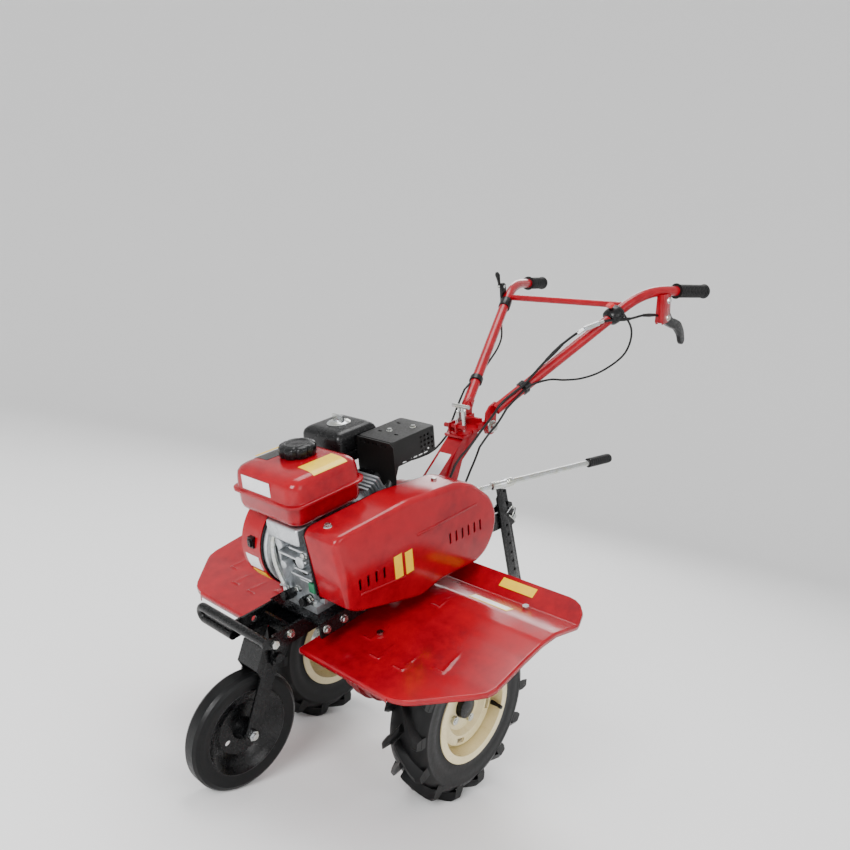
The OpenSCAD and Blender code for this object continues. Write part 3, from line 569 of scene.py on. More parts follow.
def frozen(thing: bpy.types.Object) -> bpy.types.Object:
    """Replaces an object's mesh by what its modifiers make of it.

    Args:
        thing: the object with modifiers.

    Returns:
        The same object with a plain mesh and no modifier.
    """
    graph = bpy.context.evaluated_depsgraph_get()
    mesh = bpy.data.meshes.new_from_object(thing.evaluated_get(graph))
    thing.modifiers.clear()
    thing.data = mesh
    return thing


def carve(thing: bpy.types.Object, cutter: bmesh.types.BMesh, place: Matrix) -> None:
    """Cuts a mesh out of an object.

    Args:
        thing: the object that is cut.
        cutter: the cutting mesh, in millimetres, which is freed.
        place: the matrix to metres over the ground.
    """
    bmesh.ops.recalc_face_normals(cutter, faces=cutter.faces)
    mesh = bpy.data.meshes.new("cutter")
    cutter.to_mesh(mesh)
    cutter.free()
    mesh.transform(place)
    tool = bpy.data.objects.new("cutter", mesh)
    bpy.context.scene.collection.objects.link(tool)
    cut = thing.modifiers.new("cut", "BOOLEAN")
    cut.operation = "DIFFERENCE"
    cut.solver = "EXACT"
    cut.use_self = True
    cut.object = tool
    frozen(thing)
    bpy.data.objects.remove(tool)
    thing.data.set_sharp_from_angle(angle=math.radians(32))


# ---------------------------------------------------------------- repeats


def new_tree(name: str, inputs: dict[str, str]):
    """Starts a geometry tree that takes a mesh, named values and a material.

    Args:
        name: the tree's name.
        inputs: value name to the kind of its socket.

    Returns:
        The tree and its inputs' sockets.
    """
    tree = bpy.data.node_groups.new(name, "GeometryNodeTree")
    for label, kind in {"Geometry": "Geometry", **inputs, "Material": "Material"}.items():
        tree.interface.new_socket(label, in_out="INPUT", socket_type=f"NodeSocket{kind}")
    tree.interface.new_socket("Geometry", in_out="OUTPUT", socket_type="NodeSocketGeometry")
    return tree, add_node(tree, "NodeGroupInput").outputs


def end_tree(tree, shape, material) -> None:
    """Gives a tree's shape its material and sends it out."""
    dressed = add_node(tree, "GeometryNodeSetMaterial", {"Geometry": shape, "Material": material})
    add_node(tree, "NodeGroupOutput", {"Geometry": dressed.outputs[0]})


class RingTree:
    """A geometry tree that repeats a mesh evenly round an axis."""

    def __init__(self) -> None:
        """Builds the tree with named inputs."""
        tree, given = new_tree("ring_repeat", {"Count": "Int", "Step": "Vector", "Centre": "Vector"})
        away = add_node(tree, "ShaderNodeVectorMath", {0: given["Centre"]}, operation="SCALE")
        away.inputs["Scale"].default_value = -1.0
        home = add_node(tree, "GeometryNodeTransform",
                        {"Geometry": given["Geometry"], "Translation": away.outputs[0]})
        dots = add_node(tree, "GeometryNodeMeshLine", {"Count": given["Count"]},
                        {"Offset": (0.0, 0.0, 0.0)})
        number = add_node(tree, "GeometryNodeInputIndex")
        turn = add_node(tree, "ShaderNodeVectorMath",
                        {0: given["Step"], "Scale": number.outputs[0]}, operation="SCALE")
        copies = add_node(tree, "GeometryNodeInstanceOnPoints",
                          {"Points": dots.outputs[0], "Instance": home.outputs[0],
                           "Rotation": turn.outputs[0]})
        real = add_node(tree, "GeometryNodeRealizeInstances", {"Geometry": copies.outputs[0]})
        back = add_node(tree, "GeometryNodeTransform",
                        {"Geometry": real.outputs[0], "Translation": given["Centre"]})
        end_tree(tree, back.outputs[0], given["Material"])
        self.tree = tree

    def apply(self, thing: bpy.types.Object, count: int, step: Point, centre: Vector,
              finish: Finish) -> bpy.types.Object:
        """Repeats an object's mesh round a centre.

        Args:
            thing: the object that holds one copy.
            count: how many copies.
            step: the turn from one copy to the next, in radians about X, Y and Z.
            centre: the middle of the ring, in metres.
            finish: the finish of every copy.

        Returns:
            The object with the plain mesh of all copies.
        """
        values = {"Count": count, "Step": step, "Centre": tuple(centre), "Material": finish.make()}
        return run_tree(thing, self.tree, values)


class BoltTree:
    """A geometry tree that sets a chamfered hexagon head and washer on each point."""

    def __init__(self) -> None:
        """Builds the tree with named inputs."""
        tree, given = new_tree("bolt_heads", {"Head Radius": "Float", "Head Height": "Float"})

        def times(socket, factor: float):
            """Returns: the socket's value times a factor."""
            return add_node(tree, "ShaderNodeMath", {0: socket}, {1: factor}, operation="MULTIPLY").outputs[0]

        radius, height = given["Head Radius"], given["Head Height"]
        washer = add_node(tree, "GeometryNodeMeshCone",
                          {"Radius Top": times(radius, 1.28), "Radius Bottom": times(radius, 1.34),
                           "Depth": times(height, 0.25)}, {"Vertices": 20})
        head = add_node(tree, "GeometryNodeMeshCone",
                        {"Radius Top": radius, "Radius Bottom": radius, "Depth": times(height, 0.85)},
                        {"Vertices": 6})
        chamfer = add_node(tree, "GeometryNodeMeshCone",
                           {"Radius Top": times(radius, 0.84), "Radius Bottom": radius,
                            "Depth": times(height, 0.15)}, {"Vertices": 6})
        rise = add_node(tree, "ShaderNodeCombineXYZ", {"Z": times(height, 0.25)})
        top = add_node(tree, "ShaderNodeCombineXYZ", {"Z": times(height, 1.1)})
        head_up = add_node(tree, "GeometryNodeTransform",
                           {"Geometry": head.outputs[0], "Translation": rise.outputs[0]})
        chamfer_up = add_node(tree, "GeometryNodeTransform",
                              {"Geometry": chamfer.outputs[0], "Translation": top.outputs[0]})
        joined = tree.nodes.new("GeometryNodeJoinGeometry")
        for part in (washer, head_up, chamfer_up):
            tree.links.new(part.outputs[0], joined.inputs[0])
        axis = add_node(tree, "GeometryNodeInputNamedAttribute", values={"Name": "axis"},
                        data_type="FLOAT_VECTOR")
        aim = add_node(tree, "FunctionNodeAlignRotationToVector", {"Vector": axis.outputs[0]}, axis="Z")
        dots = add_node(tree, "GeometryNodeMeshToPoints", {"Mesh": given["Geometry"]})
        copies = add_node(tree, "GeometryNodeInstanceOnPoints",
                          {"Points": dots.outputs[0], "Instance": joined.outputs[0],
                           "Rotation": aim.outputs[0]})
        real = add_node(tree, "GeometryNodeRealizeInstances", {"Geometry": copies.outputs[0]})
        end_tree(tree, real.outputs[0], given["Material"])
        self.tree = tree

    def apply(self, name: str, seats: Sequence[tuple[Point, Point]], radius: float, height: float,
              finish: Finish, place: Matrix = CHASSIS) -> bpy.types.Object:
        """Makes a group of equal bolt heads.

        Args:
            name: the object's name.
            seats: where each head sits and which way it points.
            radius: from the middle of a head to a corner, in millimetres.
            height: the head's height, in millimetres.
            finish: the bolts' finish.
            place: the matrix to metres over the ground.

        Returns:
            The object with the plain mesh of all heads.
        """
        mesh = bpy.data.meshes.new(name)
        mesh.from_pydata([place @ Vector(p) for p, _ in seats], [], [])
        lane = mesh.attributes.new("axis", "FLOAT_VECTOR", "POINT")
        for i, (_, axis) in enumerate(seats):
            lane.data[i].vector = (place.to_3x3() @ Vector(axis)).normalized()
        thing = bpy.data.objects.new(name, mesh)
        bpy.context.scene.collection.objects.link(thing)
        values = {"Head Radius": radius * MM, "Head Height": height * MM, "Material": finish.make()}
        run_tree(thing, self.tree, values)
        thing.data.set_sharp_from_angle(angle=math.radians(20))
        return thing


def run_tree(thing: bpy.types.Object, tree, values: dict) -> bpy.types.Object:
    """Runs a geometry tree on an object and keeps only its result.

    Args:
        thing: the object.
        tree: the geometry tree.
        values: input name to value.

    Returns:
        The object with the plain mesh.
    """
    step = thing.modifiers.new(tree.name, "NODES")
    step.node_group = tree
    for item in tree.interface.items_tree:
        if item.in_out == "INPUT" and item.name in values:
            step[item.identifier] = values[item.name]
    return frozen(thing)


@dataclass
class Shop:
    """The bench and the repeating trees, shared by all sub-assemblies."""

    bench: Bench
    ring: RingTree
    bolts: BoltTree

    def bolt_group(self, name: str, seats: Sequence[tuple[Point, Point]], radius: float, height: float,
                   body: str, finish: Finish = ZINC_PLATE, place: Matrix = CHASSIS) -> None:
        """Makes a group of bolt heads and settles it on a body."""
        thing = self.bolts.apply(name, seats, radius, height, finish, place)
        self.bench.settle(thing, finish, body)

    def wire(self, name: str, points: Sequence[Point], radius: float, finish: Finish, body: str,
             nodes: Sequence[str] = (), sides: int = 12) -> bpy.types.Object:
        """Makes a smooth cable through given points and returns it."""
        bm = bmesh.new()
        sweep(bm, smooth(points), radius, sides)
        return self.bench.piece(name, bm, finish, body, nodes)

    def sticker(self, name: str, corner: Point, along: Point, up: Point, finish: Finish,
                body: str = "chassis", thick: float = 0.5) -> None:
        """Lays a blank sticker on a flat face.

        Args:
            name: the piece's name.
            corner: its first corner.
            along: the side from that corner.
            up: the other side.
            finish: its film.
            body: the body that it rides on.
            thick: how far it stands off, in millimetres.
        """
        a, b = Vector(along), Vector(up)
        off = a.cross(b).normalized() * thick
        base = [Vector(corner), Vector(corner) + a, Vector(corner) + a + b, Vector(corner) + b]
        bm = bmesh.new()
        loft(bm, [[p - off * 0.2 for p in base], [p + off for p in base]])
        soften(bm, min(thick, 0.4), 1)
        self.bench.piece(name, bm, finish, body)


# ---------------------------------------------------------------- sub-assemblies


@dataclass
class Tyres:
    """The two drive tyres with their chevron lugs."""

    shop: Shop
    tread: float = 454.0
    width: float = 100.0
    radius: float = 205.0
    lugs: int = 14
    lug_turn: float = 20.0

    def build(self) -> None:
        """Builds a carcass and a ring of lugs for each side."""
        for side, name in ((1, "left"), (-1, "right")):
            self.carcass(side, name)
            self.lug_ring(side, name)

    def carcass(self, side: int, name: str) -> None:
        """Builds the carcass with beads, sidewall ribs and crown."""
        half = [(44.7, 104), (45.5, 110), (45.2, 117), (46.5, 119), (46.5, 122), (45.8, 124), (48.5, 136),
                (50, 150), (49.6, 160), (50.2, 162), (50.2, 165), (48.6, 168), (46, 175), (40, 182),
                (25, 187), (0, 188.5)]
        inner = [(-32, 104), (-34, 122), (-38, 162), (-28, 173), (0, 176), (28, 173), (38, 162), (34, 122),
                 (32, 104)]
        outer = half + [(-x, r) for x, r in reversed(half[:-1])]
        bm = bmesh.new()
        lathe_x(bm, outer + inner, (side * self.tread / 2, 0, 0), 96)
        self.shop.bench.piece(f"tyre_carcass_{name}", bm, TYRE_RUBBER, "drive_axle", [f"tyre_{name}"], GROUND)

    def one_lug(self, bm: bmesh.types.BMesh, hand: int, middle: float, start: float) -> None:
        """Builds one lug from the shoulder to past the tyre's centre line.

        Args:
            bm: the mesh to add to.
            hand: the side of the centre line that the lug starts on.
            middle: the tyre's centre plane.
            start: the angle of its shoulder end, in degrees.
        """
        loops = []
        stations = 8
        for k in range(stations + 1):
            t = k / stations
            x = middle + hand * (self.width / 2 - (self.width / 2 + 5) * t)
            angle = math.radians(start - 90 - self.lug_turn * t**1.15)
            crown = self.radius - (9 * (1 - t / 0.2) ** 2 if t < 0.2 else 0)
            foot = 181.0 + 6 * min(1.0, t * 2)
            half_top, half_foot = (15 + 3 * (1 - t)) / 2, (25 + 4 * (1 - t)) / 2
            loop = []
            for r, w in ((foot, -half_foot), (crown - 2, -half_top - 0.8), (crown, -half_top + 1.5),
                         (crown, half_top - 1.5), (crown - 2, half_top + 0.8), (foot, half_foot)):
                a = angle + w / self.radius
                loop.append(Vector((x, r * math.cos(a), r * math.sin(a))))
            loops.append(loop)
        tip = loops[0]
        loops.insert(0, [Vector((p.x + hand * -0.5, p.y * 0.93, p.z * 0.93)) for p in tip])
        loft(bm, loops)

    def lug_ring(self, side: int, name: str) -> None:
        """Repeats a pair of lugs round the carcass."""
        middle = side * self.tread / 2
        step = 360 / self.lugs
        bm = bmesh.new()
        self.one_lug(bm, 1, middle, 0)
        self.one_lug(bm, -1, middle, step / 2)
        thing = self.shop.bench.raw(f"tyre_lugs_{name}", bm, GROUND, 28)
        centre = GROUND @ Vector((0, 0, 0))
        self.shop.ring.apply(thing, self.lugs, (math.radians(step), 0.0, 0.0), centre, TYRE_RUBBER)
        self.shop.bench.settle(thing, TYRE_RUBBER, "drive_axle")


@dataclass
class RimDress:
    """The valve stems and hub caps of the drive rims."""

    shop: Shop
    tread: float = 454.0

    def build(self) -> None:
        """Adds a valve stem and a hub cap to each rim."""
        for side, name in ((1, "left"), (-1, "right")):
            self.valve_stem(side, name)
            self.hub_cap(side, name)

    def valve_stem(self, side: int, name: str) -> None:
        """Builds a bent rubber stem with its cap."""
        bm = bmesh.new()
        x = side * (self.tread / 2 + 26)
        route = [Vector((x, 92, 0)), Vector((x + side * 8, 92, 0)), Vector((x + side * 22, 90, 0))]
        sweep(bm, route, [5.5, 5.0, 3.6], 12)
        sweep(bm, [Vector((x + side * 22, 90, 0)), Vector((x + side * 31, 89, 0))], 4.4, 12)
        self.shop.bench.piece(f"valve_stem_{name}", bm, SOFT_RUBBER, "drive_axle", (), GROUND)

    def hub_cap(self, side: int, name: str) -> None:
        """Builds the moulded cap over the end of the hub."""
        face = side * (self.tread / 2 + 8.2)
        profile = [(0, 20), (0, 27), (10, 26.5), (17, 24.5), (18.5, 21), (18.5, 1), (17, 1), (17, 19.7)]
        bm = bmesh.new()
        lathe_x(bm, [(side * x, r) for x, r in profile], (face, 0, 0), 48)
        self.shop.bench.piece(f"hub_cap_{name}", bm, BLACK_ABS, "drive_axle", (), GROUND)


@dataclass
class BeltCover:
    """The pressed side cover over the belt drive."""

    shop: Shop
    inner: float = 98.0
    outer: float = 185.0
    sheet: float = 2.5
    edge: float = 13.0

    def outline(self, inset: float = 0.0) -> list[Pair]:
        """Returns: the side outline, drawn in by an inset."""
        corners = [(-252, 362), (-266, 500), (-252, 514), (-60, 516), (104, 495), (150, 474), (206, 424),
                   (222, 396), (228, 360), (214, 321), (186, 292), (150, 279), (20, 291), (-49, 284),
                   (-230, 342)]
        rounded = fillet([(0, y, z) for y, z in corners + corners[:2]], 14, 4)
        ring = [(p.y, p.z) for p in rounded[3:-4]]
        cy = sum(p[0] for p in ring) / len(ring)
        cz = sum(p[1] for p in ring) / len(ring)
        out = []
        for y, z in ring:
            away = math.hypot(y - cy, z - cz)
            out.append((y - (y - cy) / away * inset * 1.2, z - (z - cz) / away * inset * 1.2))
        return out

    def build(self) -> None:
        """Builds the shell, cuts its slots and adds its trim."""
        bm = bmesh.new()
        outline = self.outline()
        rows = []
        steps = 6
        for k in range(steps + 1):
            a = math.pi / 2 * k / steps
            inset = self.edge * (1 - math.cos(a))
            x = self.outer - self.edge + self.edge * math.sin(a)
            rows.append([Vector((x, y, z)) for y, z in self.outline(inset)])
        rows.insert(0, [Vector((self.inner, y, z)) for y, z in outline])
        loft(bm, rows)
        shell = self.shop.bench.raw("belt_cover_shell", bm, CHASSIS, 40)
        cut = bmesh.new()
        prism_x(cut, self.outline(self.sheet * 1.3), self.inner - 2, self.outer - self.edge)
        prism_x(cut, self.outline(self.edge), self.outer - self.edge - 0.1, self.outer - self.sheet)
        slots = [stadium((-212 + i * 22, 396 - i * 1.5), 9, 3.4, math.radians(90)) for i in range(4)]
        slots += [stadium((56 + i * 21, 379 - i * 2), 10, 3.2, math.radians(90)) for i in range(6)]
        for slot in slots:
            prism_x(cut, slot, self.outer - 8, self.outer + 6)
        carve(shell, cut, CHASSIS)
        self.shop.bench.settle(shell, RED_ENAMEL, "chassis", ["belt_cover"])
        self.trim()

    def trim(self) -> None:
        """Adds the pressed ridges, the screws and the blank stickers."""
        ridge = bmesh.new()
        prism_x(ridge, stadium((54, 428), 96, 3.2, math.radians(-2)), self.outer - 1, self.outer + 1.6)
        prism_x(ridge, stadium((-151, 365), 60, 3.2, math.radians(-9)), self.outer - 1, self.outer + 1.6)
        soften(ridge, 1.4, 3)
        self.shop.bench.piece("belt_cover_ridges", ridge, RED_ENAMEL, "chassis")
        seats = [((130, 76, 497), (0, 0.1, 1)), ((130, -230, 514), (0, 0, 1)), ((150, 196, 434), (0, 1, 1)),
                 ((150, 110, 281), (0, 0, -1))]
        self.shop.bolt_group("belt_cover_screws", seats, 7, 5, "chassis")
        for name, y, z, wide, high in (("front", -118, 361, 23, 52), ("rear", -86, 359, 22, 50)):
            self.shop.sticker(f"belt_sticker_{name}", (self.outer + 0.2, y, z), (0, wide, 0), (0, 0, high),
                              YELLOW_FILM)


@dataclass
class Fender:
    """One pressed fender: a bent sheet with a rolled lip and raised ribs."""

    shop: Shop
    side: int
    name: str
    sheet: float = 2.5
    rib_seats: tuple[Pair, ...] = ((149, -184), (205, -220), (268, -218), (336, -176),
                                                  (197, -26))

    def height(self, y: float) -> float:
        """Returns: the sheet's underside height at y."""
        bends = [(-286, 241), (-160, 241), (-60, 251), (0, 254), (50, 249), (128, 223), (180, 247)]
        return between(bends, y)

    def reach(self, y: float) -> Pair:
        """Returns: the sheet's inner and outer edge at y."""
        edge = [(-286, 306), (-283, 322), (-276, 340), (-264, 356), (-184, 436), (-168, 449), (-148, 455),
                (138, 455), (160, 450), (172, 438), (178, 424), (180, 408)]
        return (101.0 if -60 < y < 130 else 60.0, between(edge, y))

    def rib(self, x: float, y: float) -> float:
        """Returns: how far the ribs lift the sheet at a point."""
        lift = 0.0
        for cx, y0 in self.rib_seats:
            bar = max(0.0, 1 - abs(y - y0 - 3) / 4) * min(1.0, max(0.0, (14 - abs(x - cx)) / 3))
            tail_x = cx + 12 - (y - y0) * 0.12
            fade = min(1.0, max(0.0, (y0 + 62 - y) / 30))
            tail = max(0.0, 1 - abs(x - tail_x) / 4) * fade if y > y0 else 0.0
            lift = max(lift, 2.6 * max(bar, tail * 0.8))
        return lift

    def rows(self) -> list[float]:
        """Returns: the sheet's stations from front to rear."""
        fixed = [-286, -283, -276, -264, -184, -168, -148, -60.01, -59.99, 129.99, 130.01, 138, 160, 172, 178,
                 180, 128]
        ribs = [y0 + d for _, y0 in self.rib_seats for d in (-1.0, 1.0, 3.0, 5.0, 7.0)]
        fine = [-286 + 8.0 * k for k in range(59)]
        return sorted(set(fixed + ribs + [y for y in fine if y < 180]))

    def build(self) -> None:
        """Builds the sheet, its stays and the blank stickers of the left side."""
        self.sheet_piece()
        self.stays()
        if self.side > 0:
            self.stickers()

    def sheet_piece(self) -> None:
        """Builds the bent sheet with its ribs and turned-down lips."""
        bm = bmesh.new()
        columns = 150
        grid: list[list[bmesh.types.BMVert]] = []
        front_lip = [(-288.8, -12.0), (-288.5, -4.0), (-287.5, -1.0)]
        rear_lip = [(181.5, -1.0), (182.0, -6.0)]
        for y, drop in front_lip + [(y, 0.0) for y in self.rows()] + rear_lip:
            on_sheet = min(max(y, -286), 180)
            inner, outer = self.reach(on_sheet)
            top = self.height(on_sheet) + self.sheet
            row = []
            for k in range(columns + 1):
                x = inner + (outer - inner) * k / columns
                row.append(bm.verts.new((self.side * x, y, top + self.rib(x, y) + drop)))
            for dx, dz in ((1.4, -1.0), (2.2, -4.0), (2.4, -11.0)):
                row.append(bm.verts.new((self.side * (outer + dx), y, top + dz + drop)))
            grid.append(row)
        for low, high in zip(grid, grid[1:]):
            for i in range(len(low) - 1):
                bm.faces.new((low[i], low[i + 1], high[i + 1], high[i]))
        bmesh.ops.recalc_face_normals(bm, faces=bm.faces)
        thing = self.shop.bench.raw(f"fender_{self.name}_sheet", bm, CHASSIS, 50)
        if sum(p.normal.z * p.area for p in thing.data.polygons) < 0:
            thing.data.flip_normals()
        wall = thing.modifiers.new("wall", "SOLIDIFY")
        wall.thickness = self.sheet * MM
        wall.offset = -1.0
        frozen(thing)
        self.shop.bench.settle(thing, RED_ENAMEL, "chassis", [f"fender_{self.name}"])

    def stays(self) -> None:
        """Builds the two angle brackets that carry the sheet."""
        near, far, lug = (57, 175, 56.5) if self.side > 0 else (-175, -57, -61)
        bm = bmesh.new()
        for y in (-120, 60):
            top = min(self.height(y), self.height(y + 26)) - 0.4
            box(bm, (near, y, top - 3), (far, y + 26, top))
            box(bm, (lug, y, top - 3), (lug + 4.5, y + 26, 292))
        soften(bm, 1.0, 2)
        self.shop.bench.piece(f"fender_stays_{self.name}", bm, BLACK_POWDER, "chassis")

    def stickers(self) -> None:
        """Lays the blank stickers on the rear of the sheet."""
        rise = (247 - 223) / (180 - 128)
        drop = (223 - 249) / (128 - 50)
        for name, corner, wide, deep, slope, film in (
            ("yellow", (240, 148, 235.6), 92, 22, rise, YELLOW_FILM),
            ("border", (226, 56, 249.8), 104, 26, drop, YELLOW_FILM),
            ("white", (230, 60, 249.1), 96, 18, drop, WHITE_FILM),
        ):
            self.shop.sticker(f"fender_sticker_{name}", corner, (wide, 0, 0), (0, deep, deep * slope), film)


@dataclass
class Tank:
    """The fuel tank with its seam rim, neck, cap and blank stickers."""

    shop: Shop
    centre: Pair = (-16.0, -177.0)
    size: Pair = (216.0, 200.0)
    neck: Pair = (-30.0, -158.0)

    def build(self) -> None:
        """Builds the tank's two pressed halves and what sits on them."""
        sections = [(503, 40, 16), (503.6, 26, 20), (505, 20, 22), (508, 15, 25), (513, 11, 27),
                    (522, 8.5, 28), (547, 7.5, 28), (549, 6.5, 28), (549.6, 1, 30), (550.2, 0, 30),
                    (554.8, 0, 30), (555.4, 1, 30), (556, 6.5, 28), (559, 7.5, 28), (580, 8.5, 28),
                    (590, 10.5, 27), (597, 15, 26), (601.5, 22, 24), (604, 32, 20), (605, 48, 16),
                    (605.4, 70, 8)]
        bm = bmesh.new()
        loft(bm, [rounded_loop(self.centre, (self.size[0] - 2 * i, self.size[1] - 2 * i), r, z, 8)
                  for z, i, r in sections])
        self.shop.bench.piece("fuel_tank_shell", bm, RED_ENAMEL, "chassis", ["fuel_tank"], sharp=50)
        bm = bmesh.new()
        lathe_z(bm, [(0.5, 600), (30, 600), (30, 607), (28, 611), (27, 612), (0.5, 612)], (*self.neck, 0.0))
        self.shop.bench.piece("fuel_neck", bm, RED_ENAMEL, "chassis")
        self.cap()
        self.labels()

    def cap(self) -> None:
        """Builds the lobed filler cap."""
        profile = [(0.5, 607, 0.0), (38, 607, 1.0), (39, 609, 1.0), (39.5, 624, 1.0), (38, 627.5, 0.9),
                   (33, 630, 0.5), (25, 631.5, 0.0), (23.5, 630.4, 0.0), (12, 630.8, 0.0), (0.5, 631.2, 0.0)]
        loops = []
        for r, z, lobe in profile:
            loop = []
            for k in range(128):
                a = math.tau * k / 128
                dent = 4.2 * lobe * max(0.0, math.cos(8 * a)) ** 3
                loop.append(Vector((self.neck[0] + (r - dent) * math.cos(a),
                                    self.neck[1] + (r - dent) * math.sin(a), z)))
            loops.append(loop)
        bm = bmesh.new()
        loft(bm, loops)
        self.shop.bench.piece("fuel_cap_body", bm, BLACK_ABS, "fuel_cap", ["fuel_cap"], sharp=45)

    def labels(self) -> None:
        """Lays the blank films, bent over the tank's shoulders where they reach them."""
        x0, y0 = self.centre[0], self.centre[1] - self.size[1] / 2
        self.shop.sticker("tank_label_front", (-78, y0 + 7.4, 560), (92, 0, 0), (0, 0, 30), WHITE_FILM)
        shoulder = [(28, 605.9), (44, 605.7), (60.3, 604.6), (70.4, 602.1), (76, 598.6)]
        self.bent_film("tank_sticker_left", shoulder, -206, -118, YELLOW_FILM)
        far = [(2 * x0 - x, z) for x, z in shoulder]
        self.bent_film("tank_sticker_right", far, -216, -136, BLACK_FILM)
        self.shop.sticker("tank_stripe_right", (-104, -214, 605.6), (7, 0, 0.6), (0, 74, 0), YELLOW_FILM)

    def bent_film(self, name: str, line: Sequence[Pair], y0: float, y1: float,
                  finish: Finish) -> None:
        """Lays a thin film along a bent line of (x, z), from y0 to y1."""
        bm = bmesh.new()
        ring = [(x, z - 0.6) for x, z in line] + [(x, z) for x, z in reversed(line)]
        loft(bm, [[Vector((x, y, z)) for x, z in ring] for y in (y0, y1)])
        self.shop.bench.piece(name, bm, finish, "chassis")


